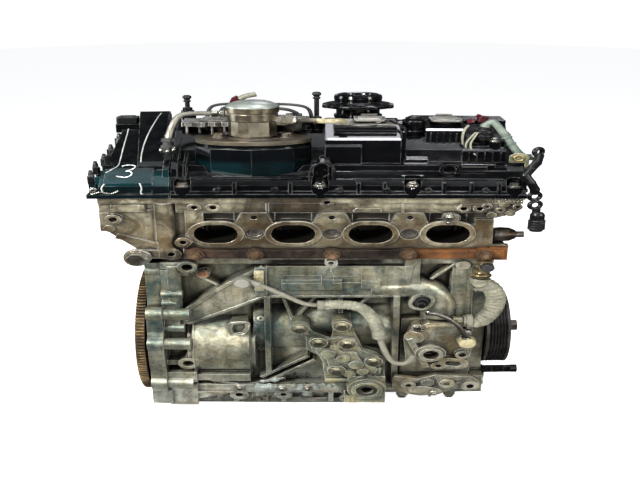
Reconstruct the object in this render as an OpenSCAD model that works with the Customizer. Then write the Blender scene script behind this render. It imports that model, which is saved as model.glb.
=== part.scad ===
/* [Cylinders] */
// Cylinder bore diameter
bore_d = 82; // [78:1:84]
// Distance between neighbouring cylinder centres
bore_pitch = 91; // [90:1:92]
// Piston stroke
stroke = 90; // [84:1:92]
// Connecting rod length, eye to eye
rod_len = 130; // [128:1:134]
// Compression height of the piston, pin centre to crown
comp_h = 25; // [24:1:27]
// Crank angle in the rest position, measured from top dead centre of the first cylinder
crank_turn = 90; // [60:5:120]

/* [Crank drive] */
// Main journal diameter of the crankshaft
main_d = 55; // [50:1:58]
// Crankpin diameter
pin_d = 50; // [46:1:52]
// Outer diameter of the starter ring gear over the teeth
ring_d = 280; // [272:2:288]
// Number of teeth on the starter ring gear
ring_teeth = 132; // [120:1:140]
// Outer diameter of the crank pulley
pulley_d = 160; // [150:2:164]
// Number of belt grooves in the crank pulley
pulley_grooves = 6; // [4:1:7]

/* [Cylinder head] */
// Height of the head and cover joint above the crank axis
joint_z = 332; // [332:1:334]
// Width of an exhaust port opening
port_w = 52; // [46:1:54]
// Height of an exhaust port opening
port_h = 38; // [32:1:40]
// Height of the exhaust port centres above the crank axis
port_z = 255; // [254:1:257]

/* [Frame] */
// Distance from the flexplate rear face to the middle of the cylinder bank
x_bank = 240; // [238:1:244]
// Depth of the oil pan floor below the crank axis
pan_z = 143; // [142:1:150]

/* [Hidden] */
$fn = 48;
deck_z = stroke/2 + rod_len + comp_h;
head_z = deck_z + 1.2;
cyl_x = [for (i = [-1.5:1:1.5]) i*bore_pitch];
main_x = [for (i = [-2:2]) i*bore_pitch];
throw_sign = [1, -1, -1, 1];
throw_r = stroke/2;
ex_y = -106;
cam_y = 60;
cam_z = joint_z;
valve_tilt = 20;
rail_x = [-160, -90, 0, 90, 180];
rail_z = deck_z + 16.5;
pump_x = -92;
pump_y = -50;
neck_x = 33;
neck_y = 62;
pump_z = 439.2;
chain_x = -209;
alu = [0.70, 0.69, 0.62];
alu_dark = [0.52, 0.53, 0.50];
black = [0.05, 0.055, 0.06];
steel = [0.62, 0.62, 0.60];
rust = [0.36, 0.21, 0.12];

// ---- shared shapes ----
module bank() translate([x_bank, 0, 0]) children();
module bx(x0, x1, y0, y1, z0, z1) translate([x0, y0, z0]) cube([x1-x0, y1-y0, z1-z0]);
module cx(x, y, z, r, l) translate([x, y, z]) rotate([0, 90, 0]) cylinder(r = r, h = l);
// cylinder that points to the exhaust side from y
module cyl_y(x, y, z, r, l) translate([x, y, z]) rotate([90, 0, 0]) cylinder(r = r, h = l);
module cz(x, y, z, r, l) translate([x, y, z]) cylinder(r = r, h = l);
module prof_x(x0, x1, pts) translate([x0, 0, 0]) rotate([90, 0, 90]) linear_extrude(x1-x0) polygon(pts);
module flat_x(x0, x1) translate([x0, 0, 0]) rotate([90, 0, 90]) linear_extrude(x1-x0) children();
module prof_y(y0, y1, pts) translate([0, y1, 0]) rotate([90, 0, 0]) linear_extrude(y1-y0) polygon(pts);
module flat_y(y0, y1) translate([0, y1, 0]) rotate([90, 0, 0]) linear_extrude(y1-y0) children();
module slot2(w, h) { square([w-h, h], center = true); for (s = [-1, 1]) translate([s*(w-h)/2, 0]) circle(d = h); }
module rrect(w, h, r) {
    square([w-2*r, h], center = true); square([w, h-2*r], center = true);
    for (a = [-1, 1], b = [-1, 1]) translate([a*(w/2-r), b*(h/2-r)]) circle(r = r);
}
module hexhead(r, h) cylinder(r = r, h = h, $fn = 6);
// flanged hex bolt standing on z = 0, with its shank below
module bolt(rh, hh, rs, ls) {
    cylinder(r = rh*1.25, h = 1.6);
    translate([0, 0, 1.6]) hexhead(rh, hh);
    translate([0, 0, -ls]) cylinder(r = rs, h = ls);
}
module bolt_out(x, y, z, rh = 7, hh = 6, rs = 4, ls = 12) translate([x, y, z]) rotate([90, 0, 0]) bolt(rh, hh, rs, ls);
// round tube along a list of points, one straight tube and one ball per leg
function leg(a, b) = b - a;
module tube_path(p, r) {
    for (i = [0:len(p)-2]) {
        v = leg(p[i], p[i+1]); l = norm(v);
        translate(p[i]) rotate([0, acos(v[2]/l), atan2(v[1], v[0])]) cylinder(r = r, h = l);
    }
    for (i = [1:len(p)-2]) translate(p[i]) sphere(r = r+0.3);
}
// swept tube with rings square to the route
function unit(v) = v/norm(v);
function ringpt(c, t, r, a) = let(u = unit(cross(t, [0.13, 0.21, 0.97])), w = cross(t, u)) c + r*(cos(a)*u + sin(a)*w);
function bez(p, t) = (1-t)*(1-t)*p[0] + 2*t*(1-t)*p[1] + t*t*p[2];
function mid(a, b) = (a + b)/2;
// smooth curve through the mid points of the legs of a list of points
function smooth(p, n) = let(k = len(p)) concat([p[0]],
    [for (i = [1:k-2]) let(a = i == 1 ? p[0] : mid(p[i-1], p[i]), b = i == k-2 ? p[k-1] : mid(p[i], p[i+1]))
        for (j = [1:n]) bez([a, p[i], b], j/n)]);
module sweep(p, r, s = 12, bump = 0) {
    n = len(p);
    tg = [for (i = [0:n-1]) unit(p[min(i+1, n-1)] - p[max(i-1, 0)])];
    pts = [for (i = [0:n-1]) for (j = [0:s-1]) ringpt(p[i], tg[i], r + (i % 2 == 0 ? bump : 0), 360*j/s)];
    faces = concat([[for (j = [0:s-1]) j]], [[for (j = [s-1:-1:0]) (n-1)*s + j]],
        [for (i = [0:n-2]) for (j = [0:s-1]) [i*s+j, (i+1)*s+j, (i+1)*s+(j+1)%s]],
        [for (i = [0:n-2]) for (j = [0:s-1]) [i*s+j, (i+1)*s+(j+1)%s, i*s+(j+1)%s]]);
    polyhedron(points = pts, faces = faces);
}

// ---- block and bottom end ----
// bell housing outline in Y and Z
module bell_outline() {
    circle(r = 134, $fn = 96);
    translate([-126, -pan_z+16]) square([252, 206]);
    for (p = bell_holes) translate(p) circle(r = 15);
    translate([-104, 60]) square([208, deck_z - 68]);
}
bell_holes = [[-118, 85], [118, 85], [-118, -78], [118, -78], [-126, 20], [126, 20], [-92, 172], [92, 172]];
cap_w = 62;
module rib_yz(x, y0, y1, z0, z1, t = 6) bx(x-t/2, x+t/2, y0, y1, z0, z1);
// straight rib between two points of the side face
module rib(x0, z0, x1, z1, t, y0, y1) {
    l = norm([x1-x0, z1-z0]);
    translate([x0, 0, z0]) rotate([0, -atan2(z1-z0, x1-x0), 0]) bx(-t/2, l+t/2, y0, y1, -t/2, t/2);
}
module block_side_relief() {
    // drain channel that climbs from the rear, runs along and turns down at the front
    prof_y(-106, -66, [[-196, 60], [-174, 56], [-144, 74], [-81, 118], [62, 118], [90, 120], [98, 186], [-78, 186], [-128, 145], [-181, 90], [-196, 82]]);
    prof_y(-108.5, -100, [[-174, 88], [-128, 141], [-78, 183], [-84, 187], [-130, 147], [-178, 92]]);
    prof_y(-108.5, -100, [[-174, 56], [-144, 74], [-81, 118], [62, 118], [62, 122], [-83, 122], [-146, 79], [-176, 60]]);
    bx(-60, 12, -110, -100, 136, 158);
    bx(36, 58, -109, -100, 138, 156);
    bx(-92, -78, -110, -100, 122, 184);
    translate([88, -84, 88]) rotate([90, 0, 0]) rotate_extrude(angle = 90) translate([46, 0]) circle(r = 24);
    translate([88, -84, 134]) rotate([0, -90, 0]) cylinder(r = 24, h = 40);
    difference() { cz(134, -84, 30, 24, 58); bx(90, 180, -130, -100, 0, 66.6); }
    bx(88, 106, -104, -70, 120, 200);
    // upright ribs and thin webs
    rib_yz(-78, -112, -70, -60, 122, 7);
    rib_yz(79, -110, -70, -90, 122, 8);
    rib_yz(11, -104, -66, 60, 122, 5);
    rib(-60, 120, -48, 66, 4, -100, -66);
    rib(-18, 120, -44, 66, 4, -100, -66);
    rib(-14, 96, 4, 118, 4, -98, -66);
    rib(28, 84, 46, 118, 4, -98, -66);
    rib(122, 156, 150, 190, 4, -98, -66);
    rib(-30, -17, -86, -66, 5, -112, -76);
    rib(-22, -26, -78, -76, 5, -112, -76);
    rib(-160, 160, -126, 130, 4, -96, -66);
    rib(-120, -92, -60, -70, 5, -112, -76);
    rib(-165, -70, -108, -88, 5, -113, -76);
}
module engine_block() color(alu_dark) bank() difference() {
    union() {
        prof_x(-205, 195, [[-70, deck_z], [86, deck_z], [86, 92], [98, 62], [98, -52], [98, -95.1], [-98, -95.1], [-87, -84], [-87, -20], [-86, 40], [-70, 96]]);
        bx(-205, 195, -98, 98, deck_z-11, deck_z);
        bx(-205, 190, -116, 116, -95.1, -83);
        difference() { flat_x(-225, -205) bell_outline(); bx(-230, -200, -200, 200, -300, -95.1); }
        // barrel shaped side wall at the rear, and the two smaller barrels next to it
        cx(-172, -44, -4, 78, 71);
        cx(-101, -44, -4, 72, 7);
        cx(-178, -44, -4, 72, 8);
        cx(-96, -50, 37, 57, 177);
        bx(-172, -101, -118, -84, -74, -58);
        // pocket boss on the barrel
        prof_y(-124, -90, [[-122, 40], [-106, 44], [-100, 58], [-102, 70], [-122, 68], [-126, 54]]);
        // eye boss, plug boss, ring boss and the arms that carry them
        cyl_y(-172, -66, 187, 12, 50);
        bx(-205, -176, -112, -66, 182, 196);
        cyl_y(-155, -66, 167, 8.5, 36);
        cyl_y(-178, -84, -32, 13, 34);
        bx(-205, -180, -112, -84, -38, -27);
        rib(-178, -20, -172, 4, 8, -110, -84);
        // lugs behind the bell housing screws
        for (p = bell_holes) cx(-206, p[0], p[1], 12, 34);
        cx(-206, -110, 126, 8, 26); cx(-206, -110, 106, 6, 18);
        cx(-206, -110, 50, 9, 26);
        cx(-206, -112, -60, 9, 22);
        bx(-205, -186, -112, -70, 50, 180);
        cz(-190, -106, 96, 9, 92);
        bx(-205, -168, -122, -84, -95.1, -52);
        block_side_relief();
        // front end: post, foot and tensioner pads
        translate([158, -84, 60]) cylinder(r = 14, h = 136);
        bx(146, 170, -96, -66, 60, 200);
        cyl_y(158, -88, 186, 9, 14);
        cyl_y(178, -66, 188, 9, 30);
        // oval sensor seat
        translate([109, -70, 109]) rotate([90, 20, 0]) linear_extrude(42) rrect(30, 36, 14);
        // coolant pump and outlet area
        bx(86, 176, -100, -80, -60, 66);
        // plain far side: two strengthening belts and four mount bosses
        bx(-190, 180, 80, 104, 120, 138);
        bx(-190, 180, 96, 108, -10, 6);
        for (p = mount_holes) translate([p[0], 84, p[1]]) rotate([-90, 0, 0]) cylinder(r = 16, h = 36);
        for (x = main_x) bx(x-6, x+6, 84, 104, -90, 157);
        for (p = bracket_holes) cyl_y(p[0], -66, p[1], 11, 52.4);
    }
    for (x = cyl_x) cz(x, 0, 60, bore_d/2, 200);
    // crank chamber, one bay for each cylinder
    for (x = cyl_x) {
        bx(x-34, x+34, -80.6, 80.6, -100, 20);
        prof_x(x-34, x+34, [[-80.6, 19], [80.6, 19], [52, 76], [-52, 76]]);
    }
    // main bearing saddles
    cx(-200, 0, 0, main_d/2 + 0.05, 395);
    for (x = main_x) bx(x-11.2, x+11.2, -cap_w/2-0.3, cap_w/2+0.3, -100, 0);
    bx(-172, 172, -70, 70, -100, -54);
    for (x = main_x) bx(x-11.2, x+11.2, -38, 38, -100, -38);
    // timing chain space, open to the rear and closed by a cover plate
    flat_x(-226, -219.2) offset_chain(7);
    flat_x(-219.3, -199) offset_chain(0);
    cx(-226, 0, 0, 53, 8);
    cx(-202, 0, 0, 38, 8);
    cx(170, 0, 0, 30, 30);
    bx(-226, -190, -40, 40, -100, -45);
    // fixing holes
    for (p = bell_holes) cx(-230, p[0], p[1], 5.5, 80);
    cyl_y(-172, -50, 187, 7, 80);
    cyl_y(-178, -100, -32, 7, 24);
    cyl_y(-155, -94, 167, 4.5, 12);
    for (p = mount_holes) translate([p[0], 96, p[1]]) rotate([-90, 0, 0]) cylinder(r = 5, h = 30);
    for (p = bracket_holes) cyl_y(p[0], -84, p[1], 4.3, 40);
    for (p = pan_holes) cz(p[0], p[1], -96, 3.3, 15);
    translate([109, -104, 109]) rotate([90, 20, 0]) linear_extrude(14) rrect(20, 26, 9);
    // set-back front corner beside the pulley
    bx(175, 200, -130, -58, -80, 176);
    // pocket in the boss
    prof_y(-125, -117, [[-119, 44], [-108, 47], [-104, 57], [-105, 66], [-119, 64], [-121, 54]]);
}
// outline of the chain space in Y and Z, grown by g
module offset_chain(g) {
    polygon([[-cam_y-42-g, deck_z+1], [cam_y+42+g, deck_z+1], [52+g, 100], [48+g, 0], [44+g, -44-(g > 0 ? 0.1 : 0)], [-44-g, -44-(g > 0 ? 0.1 : 0)], [-48-g, 0], [-52-g, 100]]);
}
mount_holes = [[-110, 64], [-20, 64], [-110, -34], [-20, -34]];
bracket_holes = [[-38, 65], [12, 71], [-16, 33], [19, 30], [51, -11], [6, -32]];
pan_holes = [for (x = [-150:60:180]) for (s = [-1, 1]) [x, s*109]];

module main_bearing_caps() color(alu_dark) bank() for (x = main_x) difference() {
    union() { bx(x-11, x+11, -cap_w/2, cap_w/2, -40, -0.2); for (s = [-1, 1]) cz(x, s*24, -50, 6.5, 10.5); }
    cx(x-12, 0, 0, main_d/2 + 0.05, 24);
}

module oil_pan() color(alu) bank() difference() {
    union() {
        bx(-205, 190, -116, 116, -103, -95.3);
        prof_x(-200, 68, [[-104, -100], [104, -100], [98, -pan_z+6], [92, -pan_z], [-92, -pan_z], [-98, -pan_z+6]]);
        prof_x(60, 186, [[-104, -100], [104, -100], [99, -108], [94, -112], [-94, -112], [-99, -108]]);
        intersection() { flat_x(-225, -200) bell_outline(); bx(-230, -190, -200, 200, -pan_z, -95.3); }
        for (x = [-120, -60, 0, 60]) rib_yz(x, -112, 112, -pan_z+12, -98);
        for (p = pan_holes) cz(p[0], p[1], -112, 7.5, 12);
        // cast lugs along the exhaust side
        cyl_y(-116, -96, -110, 12, 20); cyl_y(-88, -96, -116, 10, 16); cyl_y(-60, -96, -110, 11, 18);
        bx(-128, -50, -112, -96, -118, -97);
        bx(-203, -168, -122, -96, -132, -95.3);
        prof_y(-120, -96, [[-168, -100], [-120, -100], [-150, -112], [-168, -118]]);
        rib(-60, -122, 60, -128, 5, -106, -90);
        cyl_y(22, -90, -122, 11, 20);
    }
    prof_x(-180, 61, [[-92, -90], [92, -90], [88, -pan_z+6], [-88, -pan_z+6]]);
    bx(60, 166, -90, 90, -106, -90);
    for (p = pan_holes) cz(p[0], p[1], -120, 3.3, 30);
    for (p = pan_holes) cz(p[0], p[1], -pan_z+1, 9, pan_z-113);
    bx(-230, -199, -40, 40, -120, -90);
    cyl_y(-116, -104, -110, 5, 24);
    cyl_y(-60, -104, -110, 4, 24);
    cyl_y(22, -98, -122, 6.5, 20);
}

// ---- cylinder head ----
module port_row(y0, y1) for (x = cyl_x) flat_y(y0, y1) translate([x, port_z]) slot2(port_w, port_h);
module head_gasket() color(steel) bank() difference() {
    bx(-185, 188, -94, 94, deck_z+0.1, head_z-0.1);
    for (x = cyl_x) cz(x, 0, deck_z-1, bore_d/2+0.5, 4);
}
module head_flange_2d() {
    translate([-172, 226]) square([362, 48]);
    for (x = cyl_x) translate([x, port_z]) slot2(port_w+18, port_h+16);
    for (x = [-91, 0, 91]) translate([x, 0]) polygon([[-27, 268], [-21, 281], [-15, 299], [15, 299], [21, 281], [27, 268]]);
    translate([-172, 226]) square([22, 76]);
    translate([168, 226]) square([22, 60]);
}
module valve_axis(x, s) translate([x, s*(cam_y - 39.5), cam_z - 109]) rotate([-s*valve_tilt, 0, 0]) children();
module head_body() {
    bx(-186, 190, -98, 98, head_z, joint_z);
    // rear chest round the chain drive
    prof_y(-106, 106, [[-186, head_z], [-222, head_z+2], [-232, 224], [-252, 246], [-266, 262], [-273, 276], [-273, joint_z], [-186, joint_z]]);
    bx(-273, 222, -111, 111, joint_z-12, joint_z);
    prof_y(-106, 100, [[189, 288], [210, 296], [220, 306], [220, joint_z-4], [189, joint_z-4]]);
    bx(189, 206, -106, -60, head_z, 232);
    flat_y(ex_y, -97) head_flange_2d();
    // raised rims round the ports
    flat_y(ex_y-1.5, -100) for (x = cyl_x) translate([x, port_z]) slot2(port_w+14, port_h+14);
    // intake side flange
    flat_y(97, 106) { translate([-176, 232]) square([356, 60]); for (x = cyl_x) translate([x, port_z+6]) circle(r = 34); }
    // lower lip that carries the clamp rail
    bx(-176, 190, ex_y, -97, head_z, 230);
    // upper band with its bosses and seams
    for (x = band_x) cyl_y(x[0], -96, x[1], 8, 14);
    prof_x(-182, 196, [[-97, 297], [-103.5, 299], [-106.5, 303], [-107.5, 309], [-107.5, joint_z-13], [-97, joint_z-13]]);
    prof_y(-109, -97, [[24, 302], [58, 302], [56, 309], [28, 309]]);
    rib_yz(-75, -109, -97, 300, joint_z-10, 3);
    rib_yz(82, -109, -97, 300, joint_z-10, 3);
    // columns, lugs and bare pad on the chest
    cz(-196, -104, 206, 11, 114);
    cz(-214, -100, 236, 8, 70);
    cyl_y(-256, -100, 288, 10, 14);
    cyl_y(-262, -100, 268, 7, 10);
    bx(-258, -218, -112, -100, 303, 318);
    bx(-273, -262, -108, -60, 262, 300);
    rib(-250, 250, -206, 232, 10, -110, -97);
    cyl_y(-190, -97, 214, 12, 14);
    bx(-226, -190, -111, -97, 206, 222);
    cyl_y(-175, -95, 240, 10, 20);
    cyl_y(141, -97, 290, 9, 14);
    cyl_y(141, -97, 290, 6, 20);
    for (p = [[196, 306], [208, 300], [200, 318], [216, 313], [186, 296], [180, 313]]) cyl_y(p[0], -100, p[1], 6, 11);
    bx(150, 176, -110, -97, 314, 319);
}
band_x = [[-160, 311], [-138, 311], [-6, 321], [153, 309], [172, 309]];
module cylinder_head() color(alu) bank() difference() {
    head_body();
    // cam valley open to the cover, chain shaft open downwards
    bx(-186, 180, -84, 84, joint_z-44, joint_z+1);
    prof_x(-264, -187, [[-101, joint_z+1], [101, joint_z+1], [101, 300], [84, 276], [-84, 276], [-101, 300]]);
    prof_x(-219, -199, [[-cam_y-42, 300], [cam_y+42, 300], [cam_y+42, head_z-1], [-cam_y-42, head_z-1]]);
    // exhaust and intake ports, and the throats down to the chambers
    port_row(-120, -38);
    for (x = cyl_x) flat_y(38, 120) translate([x, port_z+6]) slot2(44, 34);
    for (x = cyl_x) for (s = [-1, 1]) bx(x-20, x+20, s > 0 ? 12 : -40, s > 0 ? 40 : -12, 226, port_z+14);
    // combustion chambers
    for (x = cyl_x) translate([x, 0, head_z-0.5]) cylinder(r1 = bore_d/2-0.5, r2 = 30, h = 14);
    for (x = cyl_x) for (s = [-1, 1]) for (d = [-17, 17]) {
        valve_axis(x+d, s) translate([0, 0, -14]) cylinder(r = 13.2, h = 20);
        valve_axis(x+d, s) cylinder(r = 3.1, h = 80);
        valve_axis(x+d, s) translate([0, 0, 58]) cylinder(r = 14.5, h = 60);
    }
    // plug wells
    for (x = cyl_x) cz(x, 0, head_z+4, 6.2, 90);
    // cam bearings, half in the head
    for (s = [-1, 1]) cx(-270, s*cam_y, cam_z, 25, 450);
    // holes
    for (x = [-91, 0, 91]) cyl_y(x, -96, port_z+34, 4, 14);
    for (x = cyl_x) flat_y(-99, -91) difference() { translate([x-21.5, 270]) square([43, 26]); translate([x, port_z]) slot2(port_w+18, port_h+16); }
    for (x = [-91, 0, 91]) cyl_y(x, -98.5, port_z, 11.2, 14);
    for (x = rail_x) cyl_y(x, -90, rail_z, 4.2, 20);
    for (x = band_x) cyl_y(x[0], -92, x[1], 4, 22);
    cyl_y(-230, -90, 210, 10.2, 30);
    cyl_y(-175, -90, 240, 4.3, 30);
    cyl_y(-190, -96, 214, 4.3, 20);
    cyl_y(-256, -104, 288, 5, 20);
    for (p = [[196, 306], [216, 313], [180, 313]]) cyl_y(p[0], -104, p[1], 2.6, 11);
}
module core_plugs() color(steel) bank() for (x = [-91, 0, 91]) difference() {
    cyl_y(x, -98.7, port_z, 11, 5.5);
    cyl_y(x, -100.2, port_z, 8.6, 6);
}
module exhaust_clamp_rail() color(rust) bank() difference() {
    union() {
        flat_y(-118, ex_y-0.2) { translate([-172, rail_z-9]) square([376, 18]); for (x = rail_x) translate([x, rail_z]) circle(r = 12.5); }
        flat_y(-121, -114) for (x = rail_x) translate([x, rail_z]) circle(r = 10.5);
        bx(186, 208, -116, ex_y-0.2, rail_z-13, rail_z+13);
        for (i = [0:3]) bx(rail_x[i]+20, rail_x[i+1]-20, -120, -116, rail_z+4, rail_z+9);
    }
    for (x = rail_x) cyl_y(x, -100, rail_z, 4.3, 30);
}
module rail_nuts() color(rust) bank() for (x = rail_x) {
    translate([x, -121.2, rail_z]) rotate([90, 0, 0]) difference() { union() { cylinder(r = 9.5, h = 1.8); cylinder(r = 7.6, h = 8.5, $fn = 6); } translate([0, 0, -1]) cylinder(r = 4.05, h = 12); }
    cyl_y(x, -91, rail_z, 4, 41);
}
module chain_tensioner() color(steel) bank() {
    cyl_y(-230, -91, 210, 10, 24);
    translate([-230, -115, 210]) rotate([90, 0, 0]) { cylinder(r = 17, h = 4); translate([0, 0, 4]) cylinder(r = 15, h = 10); translate([0, 0, 14]) cylinder(r = 12, h = 5, $fn = 6); }
}

// ---- covers ----
cover_prof = [[-112, joint_z+0.4], [112, joint_z+0.4], [112, 390], [106, 420], [80, 446], [20, 450], [-24, 440], [-56, 414], [-62, 392], [-78, 388], [-85, 377], [-104, 367], [-112, 356]];
cover_in = [[-106, joint_z-1], [106, joint_z-1], [106, 388], [101, 416], [78, 440], [21, 444], [-22, 434], [-50, 411], [-56, 386], [-74, 382], [-80, 371], [-100, 361], [-106, 353]];
bolt_pts = [[-172, -1], [-14, -1], [92, -1], [210, -1], [-140, 1], [-62, 1], [8, 1], [92, 1], [166, 1]];
function bolt_y(p) = p[1] > 0 ? 118 : -109;
module head_cover() color(black) bank() difference() {
    union() {
        prof_x(-186, 204, cover_prof);
        bx(-186, 225, -118, 118, joint_z+0.4, joint_z+8);
        prof_x(-186, 222, [[-116, joint_z+7], [-110, joint_z+7], [-110, joint_z+13], [-114, joint_z+13]]);
        for (x = [-112, -48, 30, 60, 128, 160, 192]) rib_yz(x, -117, -104, joint_z+4, 362, 4);
        // wall round the pump pedestal seat
        bx(-168, -14, -106, -10, joint_z+20, 372);
        prof_x(-14, -9, [[-106, 352], [-106, 380], [-96, 396], [-80, 402], [-50, 402], [-50, 352]]);
        flat_y(-106, -70) { translate([-22, 352]) square([22, 34]); translate([-11, 386]) circle(r = 11); }
        // ridges left of the pump
        prof_x(-186, -178, [[-100, 360], [-96, 386], [-60, 412], [-20, 446], [-20, 360]]);
        prof_x(-172, -168, [[-100, 360], [-92, 392], [-60, 410], [-20, 430], [-20, 360]]);
        // centre block with a flat top
        prof_x(-8, 80, [[-70, 366], [-70, 436], [-66, 440], [-6, 460], [30, 462], [30, 400], [-30, 366]]);
        bx(2, 76, -46, 4, 440, 458);
        prof_x(2, 76, [[-50, 440], [-46, 451], [0, 463], [8, 463], [8, 440]]);
        prof_x(-8, 34, [[-74, 366], [-74, 424], [-66, 430], [-60, 366]]);
        bx(80, 86, -66, -58, 380, 452);
        bx(80, 84, -58, -10, 380, 440);
        // fields right of it: sensor tower, coil box, connector box, round bar
        prof_x(84, 112, [[-76, 366], [-66, 396], [-40, 418], [20, 440], [20, 366]]);
        cz(97, -22, 400, 11, 40); cz(97, -22, 436, 14, 30); cz(97, -22, 465, 10.5, 8);
        prof_x(110, 158, [[-42, 380], [-42, 450], [-38, 454], [12, 462], [26, 462], [26, 380]]);
        prof_x(112, 156, [[-60, 376], [-56, 396], [-40, 400], [-30, 376]]);
        prof_x(104, 150, [[-92, 366], [-74, 384], [-50, 392], [-50, 366]]);
        prof_x(152, 204, [[-64, 376], [-64, 414], [-60, 418], [-10, 424], [30, 440], [60, 440], [60, 376]]);
        cz(191, -55, 416, 7, 16); cz(166, -40, 416, 9, 10);
        cx(150, -78, 386, 8, 40);
        cz(178, -36, 416, 12, 18);
        prof_x(26, 225, [[-106, 350], [-106, 367], [-85, 378], [-76, 378], [-76, 350]]);
        prof_x(150, 224, [[-100, 366], [-70, 388], [-50, 392], [-50, 366]]);
        cx(28, -107, 346, 4, 198);
        cx(-160, -107, 346, 4, 130);
        cyl_y(135, -84, 384, 12, 14);
        cz(92, -100, 350, 13, 24);
        // long camshaft domes along the top and low fields behind
        cx(-180, 62, 420, 32, 396);
        bx(-150, -30, -6, 40, 440, 456);
        bx(-160, -120, -4, 24, 440, 463);
        bx(-116, -80, 10, 60, 440, 462);
        prof_x(-70, -20, [[-10, 430], [0, 459], [40, 463], [52, 459], [52, 430]]);
        bx(100, 214, 30, 84, 440, 458);
        bx(180, 214, -20, 20, 424, 440);
        for (p = bolt_pts) cz(p[0], bolt_y(p), joint_z+0.4, 10, 22);
        prof_x(203, 225, [[-100, joint_z+4], [-100, 360], [-60, 386], [60, 404], [96, 380], [96, joint_z+4]]);
        cz(neck_x, neck_y, 430, 29, 29);
        // posts for the shroud studs
        cz(-175, 30, 430, 10, 42); cz(-175, 30, 471, 8, 8);
        cz(-18, 0, 430, 8, 30);
    }
    prof_x(-180, 198, cover_in);
    prof_x(197, 219, [[-94, joint_z-1], [-94, 354], [-58, 378], [56, 396], [88, 376], [88, joint_z-1]]);
    cz(178, -36, 434.2, 13.6, 60);
    for (s = [-1, 1]) cx(-190, s*cam_y, cam_z, 25, 12);
    for (p = bolt_pts) cz(p[0], bolt_y(p), joint_z-1, 3.4, 40);
    for (p = bolt_pts) cz(p[0], bolt_y(p), joint_z+22.4, p[1] > 0 ? 8 : 9.5, 60);
    // seat for the pump pedestal and the plunger hole
    translate([pump_x, pump_y, 363]) linear_extrude(66) pedestal_2d(1.2);
    translate([pump_x, pump_y, 428]) linear_extrude(90) scale([1, 0.72]) circle(r = 70, $fn = 72);
    cz(pump_x, pump_y, 340, 14, 60);
    cz(neck_x, neck_y, 400, 22, 90);
    // coil wells
    for (x = cyl_x) cz(x, 0, 330, 13, 200);
    cz(-175, 30, 450, 3.2, 60);
    cz(-18, 0, 440, 3.2, 60);
    // rounded pockets in the front ledge
    cyl_y(135, -90, 384, 8, 14);
    bx(180, 206, -94, -80, 378.5, 390);
    cyl_y(-11, -100, 378, 7, 10);
}
// plan of the pump pedestal with a prow to the exhaust side, grown by g
module pedestal_2d(g = 0) polygon([[-54-g, 34+g], [54+g, 34+g], [66+g, 24+g], [66+g, -18-g], [48+g, -36-g], [0, -51-g*1.2], [-48-g, -36-g], [-66-g, -14-g], [-66-g, 24+g]]);
module timing_plan() polygon([[-284, -118], [-187, -118], [-187, 118], [-278, 118], [-282, 20]]);
module timing_case_cover() color(black) bank() difference() {
    union() {
        // sloping panel, low at the exhaust side and high at the back
        intersection() {
            prof_x(-280, -187, [[-113, joint_z+0.4], [113, joint_z+0.4], [113, 400], [104, 438], [84, 449], [60, 443], [18, 424], [-82, 379], [-96, 372], [-113, 356]]);
            translate([0, 0, 300]) linear_extrude(220) polygon([[-270, -118], [-187, -118], [-187, 118], [-256, 118], [-260, 30]]);
        }
        translate([0, 0, joint_z+0.4]) linear_extrude(8) timing_plan();
        // front panel with a flat field, and the long ridge behind it
        prof_x(-264, -207, [[-114, joint_z+10], [-112, 362], [-104, 368], [-80, 384], [-60, 390], [-60, joint_z+10]]);
        intersection() {
            prof_x(-280, -187, [[-80, 370], [-80, 388], [-72, 395], [60, 462], [84, 468], [104, 457], [114, 412], [114, 370]]);
            translate([0, 0, 300]) linear_extrude(220) polygon([[-226, -86], [-196, -86], [-204, 118], [-244, 118]]);
        }
        prof_x(-196, -188, [[-100, 360], [-96, 384], [-20, 430], [60, 460], [96, 450], [96, 360]]);
        // solenoid towers and the end cap frames
        cz(-262, -76, 366, 7, 25);
        for (p = timing_bolts) cz(p[0], p[1], joint_z+0.4, 9, 26);
        rib(-276, 344, -276, 380, 5, -70, -64); rib(-266, 344, -264, 400, 6, 10, 16);
        bx(-276, -262, -100, -60, 345, 372);
        bx(-272, -258, -60, 30, 345, 388);
        bx(-268, -238, 44, 76, 430, 448);
    }
    intersection() {
        prof_x(-270, -180, [[-106, joint_z-1], [106, joint_z-1], [106, 396], [98, 431], [82, 441], [62, 436], [20, 417], [-78, 373], [-92, 366], [-106, 352]]);
        translate([0, 0, 300]) linear_extrude(220) polygon([[-264, -107], [-180, -107], [-180, 107], [-250, 107], [-254, 30]]);
    }
    for (p = timing_bolts) { cz(p[0], p[1], joint_z-1, 3.4, 40); cz(p[0], p[1], joint_z+26.4, 9.5, 60); }
}
timing_bolts = [[-276, -90], [-277, -30], [-276, 50]];
module lower_timing_cover() color(alu) bank() difference() {
    flat_x(-225, -219.4) { difference() { offset_chain(6.6); translate([-200, deck_z-0.2]) square([400, 10]); } circle(r = 42); }
    cx(-230, 0, 0, 42, 20);
    for (p = [[-48, 60], [48, 60], [-70, 150], [70, 150]]) cx(-226, p[0], p[1], 3.2, 8);
    // clearance for the two upper bell housing screws
    for (p = [[-92, 172], [92, 172]]) cx(-226, p[0], p[1], 8, 8);
}
module fuel_pump_pedestal() color(black) bank() difference() {
    translate([pump_x, pump_y, 363.4]) {
        linear_extrude(60) pedestal_2d();
        linear_extrude(67.2) difference() { scale([1, 0.7]) circle(r = 62, $fn = 72); translate([-100, 30]) square([200, 100]); }
    }
    cz(pump_x, pump_y, 360, 14, 80);
    for (s = [-1, 1]) cz(pump_x+s*40, pump_y, 400, 3.6, 40);
}
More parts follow.
